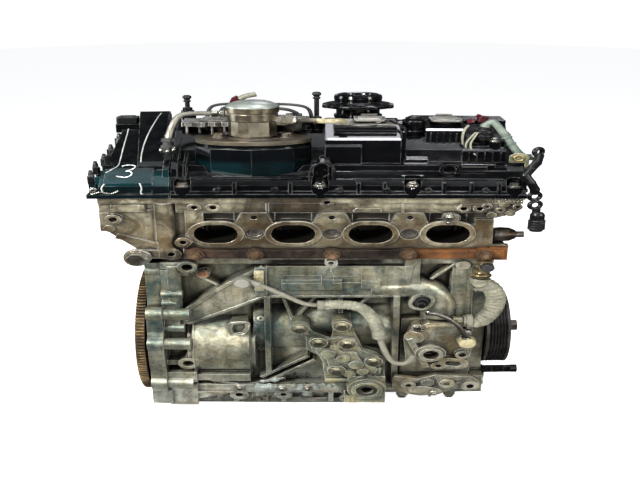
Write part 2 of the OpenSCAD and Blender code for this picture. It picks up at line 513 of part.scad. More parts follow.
module fuel_pump_flange() color([0.62, 0.56, 0.46]) bank() difference() {
    translate([pump_x, pump_y, 430.9]) { linear_extrude(7.4) scale([1, 0.7]) circle(r = 68, $fn = 96); cylinder(r = 28, h = 8.1); }
    cz(pump_x, pump_y, 400, 14, 60);
    for (s = [-1, 1]) cz(pump_x+s*40, pump_y, 400, 4.2, 60);
}
module fuel_pump_body() color([0.72, 0.70, 0.64]) bank() difference() {
    translate([pump_x, pump_y, 0]) {
        rotate_extrude($fn = 96) polygon([[10, pump_z], [23.5, pump_z], [24.2, pump_z+6], [26, 464], [27.5, 472], [29.6, 474], [29.8, 487], [29, 488.5], [31, 490], [31.2, 500], [30.4, 502.4], [24, 505.4], [12, 507.6], [0, 508.2], [0, 452], [10, 452]]);
        for (a = [0:60:300]) rotate([0, 0, a+12]) translate([22.5, -7, pump_z+4]) cube([4, 14, 26]);
        translate([20, -6, 474]) rotate([0, 90, 0]) cylinder(r = 8.5, h = 13);
        translate([33, -6, 474]) rotate([0, 90, 0]) cylinder(r = 10.5, h = 14, $fn = 6);
        translate([-20, 8, 485]) rotate([0, -90, 0]) cylinder(r = 6.5, h = 14);
        translate([0, 20, 466]) rotate([-90, 0, 0]) cylinder(r = 13, h = 22);
        translate([14, 22, 476]) rotate([-90, 0, 0]) cylinder(r = 7, h = 16);
    }
    cz(pump_x, pump_y, 430, 9.6, 20);
    translate([pump_x+40, pump_y-6, 474]) rotate([0, 90, 0]) cylinder(r = 5.2, h = 20);
    translate([pump_x-28, pump_y+8, 485]) rotate([0, -90, 0]) cylinder(r = 4.6, h = 20);
}
module fuel_pump_bolts() color(steel) bank() for (s = [-1, 1]) translate([pump_x+s*40, pump_y, 438.4]) bolt(6.4, 7, 3.4, 22);
module pump_plunger() color(steel) bank() { cz(pump_x, pump_y, 392, 9.5, 55); cz(pump_x, pump_y, 384, 12, 10); }
module fuel_feed_pipe() color(steel) bank() {
    sweep(smooth([[-120.4, -42, 485], [-130, -42, 485], [-164, -44, 486], [-178, -48, 484], [-186, -58, 462], [-190, -68, 440], [-191, -74, 424]], 5), 4.4, 12);
}
module fuel_line() color([0.74, 0.72, 0.62]) bank() {
    sweep(smooth([[-50, -56, 474], [-38, -56, 474], [-24, -57, 473], [-8, -58, 472], [4, -56, 472], [12, -46, 470], [14, -38, 466]], 6), 4.9, 12);
}
module ignition_coils() color(black) bank() for (x = cyl_x) {
    translate([x, 0, 464]) { linear_extrude(3.4) rrect(38, 44, 6); translate([0, 0, 3.4]) linear_extrude(1.6) rrect(28, 30, 5); translate([0, 25, 0.6]) linear_extrude(7) rrect(20, 10, 3); }
    cz(x, 0, 400, 11.8, 65);
    cz(x, 0, 300, 5.4, 101);
}
module filler_neck() color(black) bank() translate([neck_x, neck_y, 0]) rotate_extrude($fn = 72) polygon([[18, 459.4], [30, 459.4], [30, 464], [27, 466], [27, 478], [24, 478], [18, 478]]);
module filler_cap() color(black) bank() translate([neck_x, neck_y, 0]) difference() {
    union() {
        rotate_extrude($fn = 96) polygon([[0, 478.4], [36, 478.4], [43, 480], [44, 482], [44, 486], [40, 488], [31, 489], [29, 492], [30, 500], [29, 505], [25, 507.6], [21, 506], [19, 500], [0, 500]]);
        for (a = [20:45:359]) rotate([0, 0, a]) translate([36, -6, 480]) cube([9.2, 12, 5]);
        translate([-20, -3.5, 498]) cube([40, 7, 7]);
    }
}
module cover_bolts() color(steel) bank() {
    for (p = bolt_pts) translate([p[0], bolt_y(p), joint_z+22.6]) bolt(6, 5, 3.1, 22);
    for (p = timing_bolts) translate([p[0], p[1], joint_z+26.6]) bolt(6, 5, 3.1, 26);
}
module stud(x, y, z0, z1) {
    cz(x, y, z0, 3, z1-z0-12);
    translate([x, y, 0]) rotate_extrude() polygon([[0, z1-14], [4.5, z1-14], [4.5, z1-11], [3, z1-10], [4.6, z1-7], [5.6, z1-5], [5.2, z1-2], [3, z1], [0, z1]]);
    translate([x, y, z0+18]) cylinder(r = 6, h = 5, $fn = 6);
}
module cover_studs() color(black) bank() {
    stud(-18, 0, 447, 521);
    stud(-175, 30, 462, 511);
    translate([-262, -76, 391.3]) cylinder(r = 4, h = 18);
}
module harness_connector() color(black) bank() {
    translate([-254.2, 60, 448.3]) linear_extrude(13) rrect(27, 24, 3);
    translate([-254.2, 60, 461.3]) linear_extrude(2) rrect(20, 16, 3);
}

// ---- crank drive ----
module crank_web(x, sgn, t) translate([x, 0, 0]) rotate([90, 0, 90]) linear_extrude(t) {
    circle(r = main_d/2+8);
    translate([0, sgn*throw_r]) circle(r = pin_d/2+8);
    translate([-(pin_d/2+6), sgn > 0 ? 0 : -throw_r]) square([pin_d+12, throw_r]);
    intersection() { circle(r = 66); translate([-48, sgn > 0 ? -66 : 6]) square([96, 60]); }
}
module crankshaft() color(steel) bank() difference() {
    union() {
        rotate([-crank_turn, 0, 0]) {
            for (x = main_x) cx(x-13.6, 0, 0, main_d/2, 27.2);
            for (i = [0:3]) {
                cx(cyl_x[i]-14, 0, throw_sign[i]*throw_r, pin_d/2, 28);
                crank_web(cyl_x[i]-32, throw_sign[i], 18);
                crank_web(cyl_x[i]+14, throw_sign[i], 18);
            }
        }
        // rear end with the chain sprocket and the flexplate seat
        cx(-228, 0, 0, 41.5, 10);
        cx(-219, 0, 0, 24, 38);
        sprocket(-216, 6, crank_teeth, pitch_low);
        // front nose
        cx(190, 0, 0, 24, 44);
    }
    for (a = [0:60:359]) rotate([a, 0, 0]) cx(-229, 0, 30, 4.2, 8);
    cx(-229, 0, 0, 13, 20);
    cx(204, 0, 0, 7.2, 40);
}
// chain drive in two stages: crank to idler, idler to both camshafts
crank_teeth = 24; idler_teeth = 32; idler_small = 24; cam_teeth = 36; pitch_low = 8; pitch_up = 6.35; idler_z = 120;
function pitch_r(n, p) = p/2/sin(180/n);
module sprocket(x, t, n, p) translate([x, 0, 0]) rotate([90, 0, 90]) linear_extrude(t) polygon(tooth_pts(n, pitch_r(n, p)+1.2, pitch_r(n, p)-2));
module idler_sprocket() color(steel) bank() translate([0, 0, idler_z]) difference() {
    union() { sprocket(-216, 6, idler_teeth, pitch_low); sprocket(-207, 6, idler_small, pitch_up); cx(-216, 0, 0, 18, 15.2); }
    cx(-220, 0, 0, 10.05, 24);
}
module flexplate() color(steel) bank() difference() {
    union() { cx(-232, 0, 0, ring_d/2-13, 3.6); cx(-235, 0, 0, 44, 6.6); for (a = [0:60:359]) rotate([a, 0, 0]) cx(-240, 0, 98, 14, 10); }
    for (a = [0:60:359]) rotate([a, 0, 0]) cx(-240, 0, 30, 4.4, 20);
    for (a = [0:60:359]) rotate([a, 0, 0]) cx(-241, 0, 98, 5.25, 21);
    for (a = [30:60:359]) rotate([a, 0, 0]) cx(-240, 0, 78, 16, 20);
    cx(-240, 0, 0, 13, 20);
}
// closed outline of the teeth, four corners for each tooth
function tooth_pts(n, ro, ri) = [for (i = [0:n-1]) for (k = [0:3])
    let(a = 360/n*(i + [0, 0.22, 0.5, 0.72][k]), r = (k == 1 || k == 2) ? ro : ri) [r*cos(a), r*sin(a)]];
module ring_gear() color(rust) bank() translate([-240, 0, 0]) rotate([90, 0, 90]) linear_extrude(12) difference() {
    polygon(tooth_pts(ring_teeth, ring_d/2, ring_d/2-4.6));
    circle(r = ring_d/2-12.9, $fn = 120);
}
module flexplate_bolts() color(steel) bank() for (a = [0:60:359]) rotate([a, 0, 0]) translate([-235.2, 0, 30]) rotate([0, -90, 0]) bolt(6.5, 5, 4, 13.4);
module pulley_hub() color(steel) bank() difference() {
    translate([195.8, 0, 0]) rotate([0, 90, 0]) rotate_extrude($fn = 96) polygon([[24.2, 0], [34, 0], [34, 14], [56, 17], [56, 4], [62, 4], [62, 30], [56, 30], [56, 23], [34, 20], [34, 38.6], [24.2, 38.6]]);
    for (a = [0:60:359]) rotate([a, 0, 0]) cx(190, 0, 46, 6, 50);
}
module pulley_rubber() color(black) bank() translate([199, 0, 0]) rotate([0, 90, 0]) rotate_extrude($fn = 96) polygon([[62.2, 0], [66, 0], [66, 26], [62.2, 26]]);
module pulley_ring() color([0.10, 0.10, 0.10]) bank() translate([197, 0, 0]) rotate([0, 90, 0]) rotate_extrude($fn = 96)
    polygon(concat([[66.2, 0], [pulley_d/2, 0], [pulley_d/2, 3]],
        [for (i = [0:pulley_grooves-1]) for (k = [0:1]) [pulley_d/2 - (k == 0 ? 0 : 3.2), 3.6 + i*4 + (k == 0 ? 0 : 2)]],
        [[pulley_d/2, 3.6+pulley_grooves*4], [pulley_d/2, 31], [66.2, 31]]));
module pulley_bolt() color(steel) bank() { translate([234.6, 0, 0]) rotate([0, 90, 0]) { cylinder(r = 17, h = 3); translate([0, 0, 3]) hexhead(13, 9); } cx(204.4, 0, 0, 7, 31); }
// crankpin position of cylinder i in Y and Z at rest, and the pin height of its piston
function pin_yz(i) = [throw_sign[i]*throw_r*sin(crank_turn), throw_sign[i]*throw_r*cos(crank_turn)];
function wrist_z(i) = pin_yz(i)[1] + sqrt(rod_len*rod_len - pin_yz(i)[0]*pin_yz(i)[0]);
module connecting_rods() color(steel) bank() for (i = [0:3]) translate([cyl_x[i], pin_yz(i)[0], pin_yz(i)[1]])
    rotate([asin(pin_yz(i)[0]/rod_len), 0, 0]) difference() {
        union() { cx(-12, 0, 0, pin_d/2+6, 24); cx(-11, 0, rod_len, 14.4, 22); bx(-7, 7, -10, 10, 20, rod_len-10); for (s = [-1, 1]) cz(0, s*28, -10, 4.5, 20); }
        cx(-20, 0, 0, pin_d/2+0.06, 40);
        cx(-20, 0, rod_len, 11.06, 40);
        for (s = [-1, 1]) bx(s > 0 ? 4 : -8, s > 0 ? 8 : -4, -6, 6, 36, rod_len-22);
    }
module pistons() color(steel) bank() for (i = [0:3]) translate([cyl_x[i], 0, wrist_z(i)]) difference() {
    translate([0, 0, comp_h]) rotate([180, 0, 0]) rotate_extrude($fn = 96) polygon([[0, 0], [bore_d/2-0.3, 0], [bore_d/2-0.3, 4], [bore_d/2-3, 4], [bore_d/2-3, 6], [bore_d/2-0.3, 6],
        [bore_d/2-0.3, 9], [bore_d/2-3, 9], [bore_d/2-3, 11], [bore_d/2-0.3, 11], [bore_d/2-0.3, 46], [bore_d/2-5, 46], [bore_d/2-5, 10], [0, 10]]);
    cx(-50, 0, 0, 11.06, 100);
    bx(-50, -33, -18, 18, -30, -14); bx(33, 50, -18, 18, -30, -14);
}
module piston_pins() color(steel) bank() for (i = [0:3]) difference() { cx(cyl_x[i]-32, 0, wrist_z(i), 11, 64); cx(cyl_x[i]-33, 0, wrist_z(i), 6, 66); }

// ---- valve gear ----
module cam_lobe(x, ph) translate([x, 0, 0]) rotate([ph, 0, 0]) rotate([90, 0, 90]) linear_extrude(12) { circle(r = 15); translate([0, 9]) circle(r = 11.5); }
firing = [0, 270, 90, 180];
module camshaft(s, ph) bank() translate([0, s*cam_y, cam_z]) {
    cx(-246, 0, 0, 12, 424);
    for (i = [0:3]) for (d = [-17, 17]) cam_lobe(cyl_x[i]+d-6, firing[i]+ph);
    for (x = main_x) cx(x == main_x[0] ? -178 : x-8, 0, 0, 15, x == main_x[4] ? 4 : 16);
    sprocket(-207, 6, cam_teeth, pitch_up);
    translate([-246, 0, 0]) rotate([90, 0, 90]) linear_extrude(34) { circle(r = 20); for (a = [0:90:359]) rotate(a) translate([14, -5]) square([8, 10]); }
}
module intake_camshaft() color(steel) camshaft(1, 110);
module exhaust_camshaft() color(steel) camshaft(-1, -110);
// closed chain runs, each a band that clears its sprockets by g
module loop3(g) {
    for (s = [-1, 1]) translate([s*cam_y, cam_z]) circle(r = pitch_r(cam_teeth, pitch_up)+g);
    translate([0, idler_z]) circle(r = pitch_r(idler_small, pitch_up)+g);
    r = pitch_r(cam_teeth, pitch_up)+g-0.05; q = pitch_r(idler_small, pitch_up)+g-0.05;
    a = asin((r-q)/norm([cam_y, cam_z-idler_z])) + atan2(cam_y, cam_z-idler_z);
    polygon([[-cam_y, cam_z+r], [cam_y, cam_z+r], [cam_y+r*cos(a), cam_z-r*sin(a)], [q*cos(a), idler_z-q*sin(a)], [-q*cos(a), idler_z-q*sin(a)], [-cam_y-r*cos(a), cam_z-r*sin(a)]]);
}
module loop2(g) {
    translate([0, idler_z]) circle(r = pitch_r(idler_teeth, pitch_low)+g);
    circle(r = pitch_r(crank_teeth, pitch_low)+g);
    r = pitch_r(idler_teeth, pitch_low)+g-0.05; q = pitch_r(crank_teeth, pitch_low)+g-0.05;
    a = asin((r-q)/idler_z);
    polygon([[r*cos(a), idler_z-r*sin(a)], [q*cos(a), -q*sin(a)], [-q*cos(a), -q*sin(a)], [-r*cos(a), idler_z-r*sin(a)]]);
}
module timing_chains() color([0.2, 0.19, 0.18]) bank() {
    flat_x(-207, -201) difference() { loop3(4.4); loop3(1.6); }
    flat_x(-216, -210) difference() { loop2(4.4); loop2(1.6); }
}
module valve_set(x, s) valve_axis(x, s) {
    rotate_extrude($fn = 32) polygon([[0, -8], [12.4, -8], [12.4, -5.5], [6, -1], [2.9, 6], [2.9, 84], [0, 84]]);
    translate([0, 0, 84]) cylinder(r = 12, h = 5);
}
module valves() color(steel) bank() for (x = cyl_x) for (s = [-1, 1]) for (d = [-17, 17]) valve_set(x+d, s);
module valve_springs() color(steel) bank() for (x = cyl_x) for (s = [-1, 1]) for (d = [-17, 17]) valve_axis(x+d, s) translate([0, 0, 58.3]) difference() { cylinder(r = 11.5, h = 25.4); translate([0, 0, -1]) cylinder(r = 7.5, h = 30); }

// ---- side attachments, exhaust side ----
module coolant_housing() color(alu) bank() difference() {
    union() {
        prof_y(-122, -100.3, [[88, 30], [96, 52], [118, 66], [150, 60], [170, 46], [174, 10], [168, -30], [150, -44], [128, -40], [112, -24], [92, -22]]);
        cyl_y(121, -100.3, 2, 19, 36);
        cyl_y(121, -100.3, 2, 15, 42);
        translate([150, -112, -24]) rotate([90, 10, 0]) linear_extrude(20) rrect(38, 24, 11);
        cyl_y(161, -100.3, -4, 9, 32);
        translate([106, -118, 38]) rotate([90, 0, 0]) rotate([0, -25, 0]) cylinder(r = 13, h = 14);
        cyl_y(104, -100.3, 58, 7, 26);
        translate([116, -116, 58]) rotate([0, 90, 0]) cylinder(r = 7, h = 44);
        rib(96, 30, 116, -30, 8, -130, -118);
        cyl_y(132, -100.3, -30, 9, 30);
        cyl_y(165, -100.3, 28, 11, 28);
        translate([148, -116, 68]) rotate([0, 90, 0]) cylinder(r = 10, h = 12);
        bx(146, 156, -118, -100.3, 46, 52);
    }
    cyl_y(121, -116, 2, 10, 40);
    translate([150, -124, -24]) rotate([90, 10, 0]) linear_extrude(20) rrect(20, 11, 5);
    cyl_y(161, -120, -4, 5, 40);
    cyl_y(132, -118, -30, 4, 40);
}
module coolant_sensor() color([0.16, 0.19, 0.2]) bank() translate([109, -104.3, 109]) rotate([90, 20, 0]) {
    linear_extrude(9) rrect(19, 25, 8.6);
    translate([0, 0, 9]) linear_extrude(6) rrect(14, 18, 6);
    translate([0, -3, 15]) cylinder(r = 5, h = 6);
}
module lifting_bracket() color([0.6, 0.56, 0.44]) bank() difference() {
    union() {
        prof_y(-71.2, -67, [[207, 392.8], [231, 392.8], [231, 405], [226, 411], [214, 412.5], [207, 406]]);
        bx(225.8, 231, -71.2, -38, 322, 396);
        bx(225.8, 231, -71.2, -22, 316, 340);
    }
    cyl_y(218, -50, 402, 5, 20);
    cx(220, -34, 328, 4.3, 20);
}
hose_pts = [[179, -114, 163.3], [179, -114, 156], [194, -114, 138], [199, -114, 112], [193, -115, 86], [180, -116, 68], [160.5, -116, 68]];
module coolant_hose() color([0.42, 0.42, 0.36]) bank() sweep(smooth(hose_pts, 7), 12.4, 12, 1.2);
module hose_fitting() color([0.6, 0.5, 0.3]) bank() {
    translate([179, -114, 165.4]) { cylinder(r = 10, h = 12); translate([0, 0, 12]) cylinder(r = 7, h = 8); translate([0, 0, 3]) cylinder(r = 12.4, h = 3); }
    translate([184, -102, 190]) rotate([90, 0, 0]) { cylinder(r = 9, h = 16); cylinder(r = 6, h = 20); }
}
module vacuum_plug() color([0.8, 0.76, 0.6]) bank() translate([165, -128.5, 28]) rotate([90, 0, 0]) { cylinder(r = 10, h = 12); translate([0, 0, 12]) cylinder(r = 8, h = 2); cylinder(r = 11.5, h = 3); }
module sensor_connector() color([0.75, 0.74, 0.70]) bank() translate([-106, -110.3, 158]) rotate([90, 0, 0]) { cylinder(r = 7, h = 6); translate([0, 0, 6]) cylinder(r = 11.5, h = 10); translate([0, 0, 16]) cylinder(r = 9, h = 3); }
cable_pts = [[-93.6, -122, 157], [-80, -124, 150], [-50, -130, 128], [-34, -133, 116], [-20, -134, 113], [-13, -134, 113]];
module sensor_cable() color([0.6, 0.6, 0.58]) bank() { sweep(smooth(cable_pts, 4), 3.8, 10); sweep(smooth([[58.6, -137, 39], [62, -138, 18], [72, -142, -12], [86, -146, -18], [97, -146, -8], [99, -146, 4]], 4), 4.2, 10); }
module cable_conduit() color([0.55, 0.55, 0.52]) bank() sweep(smooth([[-12.4, -134, 113], [-4, -134, 113], [8, -134, 115], [34, -134, 108], [50, -135, 82], [57, -136, 52], [58.4, -136.8, 41]], 8), 8.6, 12, 1);
module support_bracket() color([0.66, 0.60, 0.46]) bank() difference() {
    union() {
        flat_y(-136, -118.7) {
            offset(3) offset(-3) polygon([[-46, 73], [-30, 74], [-23, 55], [-8, 45], [0, 40], [3, 78], [22, 78], [29, 48], [38, 16], [56, 6], [65, -7], [65, -100], [16, -100], [6, -73], [-8, -56], [-11, -17], [-15, 0], [-30, 13], [-31, 42], [-47, 57]]);
            for (p = bracket_holes) translate(p) circle(r = 12);
        }
        for (p = bracket_holes) cyl_y(p[0], -118.7, p[1], 11.5, 27.3);
        // uneven cast body between the bolts
        flat_y(-141, -130) offset(4) offset(-4) polygon([[-26, 42], [-4, 40], [10, 44], [28, 40], [36, 14], [58, 0], [60, -44], [30, -52], [14, -46], [0, -40], [-6, -8], [-24, 16]]);
        flat_y(-144.5, -130) offset(3) offset(-3) polygon([[-20, 22], [-8, 20], [6, 22], [14, 12], [30, 10], [34, -4], [44, -22], [56, -26], [54, -40], [36, -36], [24, -20], [8, -12], [-2, 2], [-18, 8]]);
        for (b = [[-4, 8, 9, 29], [14, -2, 8, 30], [30, -18, 9, 28.5], [22, -40, 8, 27], [38, -34, 7, 29.5], [4, 24, 6, 27.5]]) cyl_y(b[0], -118.7, b[1], b[2], b[3]);
        cyl_y(43, -118.7, -70, 24, 40);
        cyl_y(43, -118.7, -70, 19, 46);
        bx(16, 66, -156, -118.7, -104, -86);
        bx(20, 66, -146, -118.7, -56, -46);
        cx(-8, -138, -57, 5.5, 34);
        bx(-4, 20, -134, -118.7, -62, -52);
    }
    for (p = bracket_holes) cyl_y(p[0], -110, p[1], 4.3, 60);
    cyl_y(43, -110, -70, 7, 70);
    cyl_y(43, -161, -70, 14, 20);
}
module bracket_bolts() color(steel) bank() for (p = bracket_holes) bolt_out(p[0], -146.2, p[1], 7, 6, 4, 34);
module pan_bolts() color(steel) bank() for (p = pan_holes) translate([p[0], p[1], -112.3]) rotate([180, 0, 0]) bolt(5.4, 5, 3, 24);
module side_arm() color(alu) bank() difference() {
    union() {
        flat_y(-127, -116.4) offset(4) offset(-4) polygon([[76, -56], [92, -60], [108, -64], [130, -54], [144, -56], [156, -58], [176, -60], [185, -70], [187, -86], [176, -95], [164, -86], [150, -90], [136, -102], [112, -106], [94, -100], [76, -88]]);
        cyl_y(173, -116.4, -78, 11, 20); cyl_y(143, -116.4, -70, 10, 22);
        cyl_y(96, -116.4, -76, 9, 18);
        flat_y(-133, -124) offset(3) offset(-3) polygon([[92, -82], [110, -78], [134, -84], [140, -94], [122, -98], [100, -94]]);
        cyl_y(120, -124, -72, 8, 7); cyl_y(158, -124, -80, 8, 6);
    }
    cyl_y(173, -100, -78, 5, 60);
    cyl_y(96, -100, -76, 4, 60);
    cyl_y(143, -130, -70, 4, 20);
}
module tension_strut() color(black) bank() difference() {
    union() { bx(198, 238, -52, -44, -92, -78); cx(236, -48, -85, 8.5, 8); bx(195.3, 199, -66, -44, -100, -76); }
    for (i = [0:3]) for (k = [-1, 1]) translate([205 + i*7.4, -40, -85 + k*3.2]) rotate([90, 0, 0]) cylinder(r = 2.6, h = 30, $fn = 4);
}
module vent_connector() color(black) bank() translate([178, -36, 434.3]) {
    cylinder(r = 13, h = 6);
    translate([0, 0, 6]) rotate([0, 8, 0]) translate([0, 0, -1]) { cylinder(r = 12, h = 13); translate([0, 0, 13]) cylinder(r = 9, h = 4); }
}
vent_pts = [[180.6, -36, 457.4], [181.4, -36, 463], [190, -38, 467], [202, -43, 446], [212, -49, 424], [222, -55, 406], [232, -60, 402], [236, -61, 403]];
module vent_hose() color([0.55, 0.58, 0.52]) bank() sweep(smooth(vent_pts, 6), 5.6, 12);
module vent_valve() color(black) bank() {
    // hose end eye, arm and the ribbed valve that hangs from it
    translate([242, -64, 414]) rotate([90, 0, 40]) rotate_extrude() translate([7, 0]) circle(r = 3.4, $fn = 20);
    tube_path([[243, -68, 408], [238, -84, 396], [229, -100, 388], [221, -112.5, 378], [228, -114.5, 364], [233.8, -112, 350], [234.6, -109, 341]], 6);
    for (z = [335, 317]) translate([z == 335 ? 235 : 236.4, -109, z]) rotate([90, 0, 20]) rotate_extrude() translate([7.4, 0]) circle(r = 3, $fn = 20);
    translate([238, -112, 302]) cylinder(r = 5, h = 10);
    translate([240, -112, 264]) rotate_extrude() polygon([[0, 0], [8, 0], [8, 3], [10.5, 4], [10.5, 7], [9, 8], [10.5, 9], [10.5, 12], [9, 13], [10.5, 14], [10.5, 17], [9, 18], [10.5, 19], [10.5, 22], [9, 23], [9, 34], [7, 38], [0, 40]]);
}
module oil_pressure_sensor() color(steel) bank() translate([190.3, -84, 247]) rotate([0, 90, 0]) {
    rotate_extrude() polygon([[0, 0], [9, 0], [13.5, 4], [14.5, 12], [13.5, 22], [9, 29], [6, 31], [0, 31]]);
    translate([0, 0, 31]) cylinder(r = 6, h = 9);
}

engine_block();
main_bearing_caps();
oil_pan();
cylinder_head();
head_gasket();
core_plugs();
head_cover();
timing_case_cover();
lower_timing_cover();
exhaust_clamp_rail();
rail_nuts();
fuel_pump_body();
fuel_pump_flange();
fuel_pump_pedestal();
fuel_pump_bolts();
pump_plunger();
fuel_feed_pipe();
fuel_line();
ignition_coils();
filler_neck();
filler_cap();
cover_bolts();
cover_studs();
harness_connector();
chain_tensioner();
crankshaft();
flexplate();
ring_gear();
flexplate_bolts();
pulley_hub();
pulley_rubber();
pulley_ring();
pulley_bolt();
connecting_rods();
pistons();
piston_pins();
intake_camshaft();
exhaust_camshaft();
timing_chains();
idler_sprocket();
valves();
valve_springs();
coolant_housing();
coolant_sensor();
coolant_hose();
hose_fitting();
lifting_bracket();
vacuum_plug();
sensor_connector();
sensor_cable();
cable_conduit();
support_bracket();
bracket_bolts();
pan_bolts();
side_arm();
tension_strut();
vent_connector();
vent_hose();
vent_valve();
oil_pressure_sensor();
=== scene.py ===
import bpy, bmesh, math, random
from mathutils import Vector, Matrix
from mathutils.bvhtree import BVHTree


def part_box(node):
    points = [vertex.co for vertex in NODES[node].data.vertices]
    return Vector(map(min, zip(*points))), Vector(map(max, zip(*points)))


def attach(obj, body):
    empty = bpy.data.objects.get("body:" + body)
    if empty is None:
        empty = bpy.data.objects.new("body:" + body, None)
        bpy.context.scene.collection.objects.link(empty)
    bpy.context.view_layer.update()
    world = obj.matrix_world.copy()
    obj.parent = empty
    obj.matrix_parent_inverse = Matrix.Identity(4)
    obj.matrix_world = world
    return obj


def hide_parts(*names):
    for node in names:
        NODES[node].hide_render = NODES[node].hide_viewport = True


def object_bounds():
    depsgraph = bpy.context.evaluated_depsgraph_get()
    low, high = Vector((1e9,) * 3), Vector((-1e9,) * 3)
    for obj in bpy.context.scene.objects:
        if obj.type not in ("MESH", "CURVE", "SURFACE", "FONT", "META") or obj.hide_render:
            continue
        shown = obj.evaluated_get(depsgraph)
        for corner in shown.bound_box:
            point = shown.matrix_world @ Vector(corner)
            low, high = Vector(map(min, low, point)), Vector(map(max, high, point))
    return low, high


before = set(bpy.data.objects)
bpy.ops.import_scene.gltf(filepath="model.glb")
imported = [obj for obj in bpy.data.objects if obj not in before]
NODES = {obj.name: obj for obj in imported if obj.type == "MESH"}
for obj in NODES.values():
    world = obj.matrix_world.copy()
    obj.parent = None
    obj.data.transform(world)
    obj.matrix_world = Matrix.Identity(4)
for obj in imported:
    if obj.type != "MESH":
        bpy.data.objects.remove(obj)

CAD_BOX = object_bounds()
random.seed(11)


def P(x, y, z):
    """A point given in millimetres from the middle of the cylinder bank."""
    return Vector(((x + 240.0) / 1000.0, y / 1000.0, z / 1000.0))


# ---------------------------------------------------------------- camera
# The picture this part follows is stretched sideways by about 1.7. A panoramic camera with
# unequal ranges across and up shows the true shape with that same stretch.
ANAMORPHIC = True
TARGET, TILT, FAR = P(-14, -105, 242), math.radians(20), 1.5
cam_data = bpy.data.cameras.new("camera")
cam = bpy.data.objects.new("camera", cam_data)
bpy.context.scene.collection.objects.link(cam)
cam.location = TARGET + Vector((0, -math.cos(TILT), math.sin(TILT))) * FAR
cam.rotation_euler = (TARGET - cam.location).to_track_quat("-Z", "Y").to_euler()
cam_data.clip_start, cam_data.clip_end = 0.01, 50
if ANAMORPHIC:
    cam_data.type = "PANO"
    cam_data.panorama_type = "EQUIRECTANGULAR"
    cam_data.longitude_min, cam_data.longitude_max = -0.2510, 0.2510
    cam_data.latitude_min, cam_data.latitude_max = -0.3170, 0.3170
else:
    cam_data.sensor_width = 36
    cam_data.lens = 36 * 744 / 640
bpy.context.scene.camera = cam


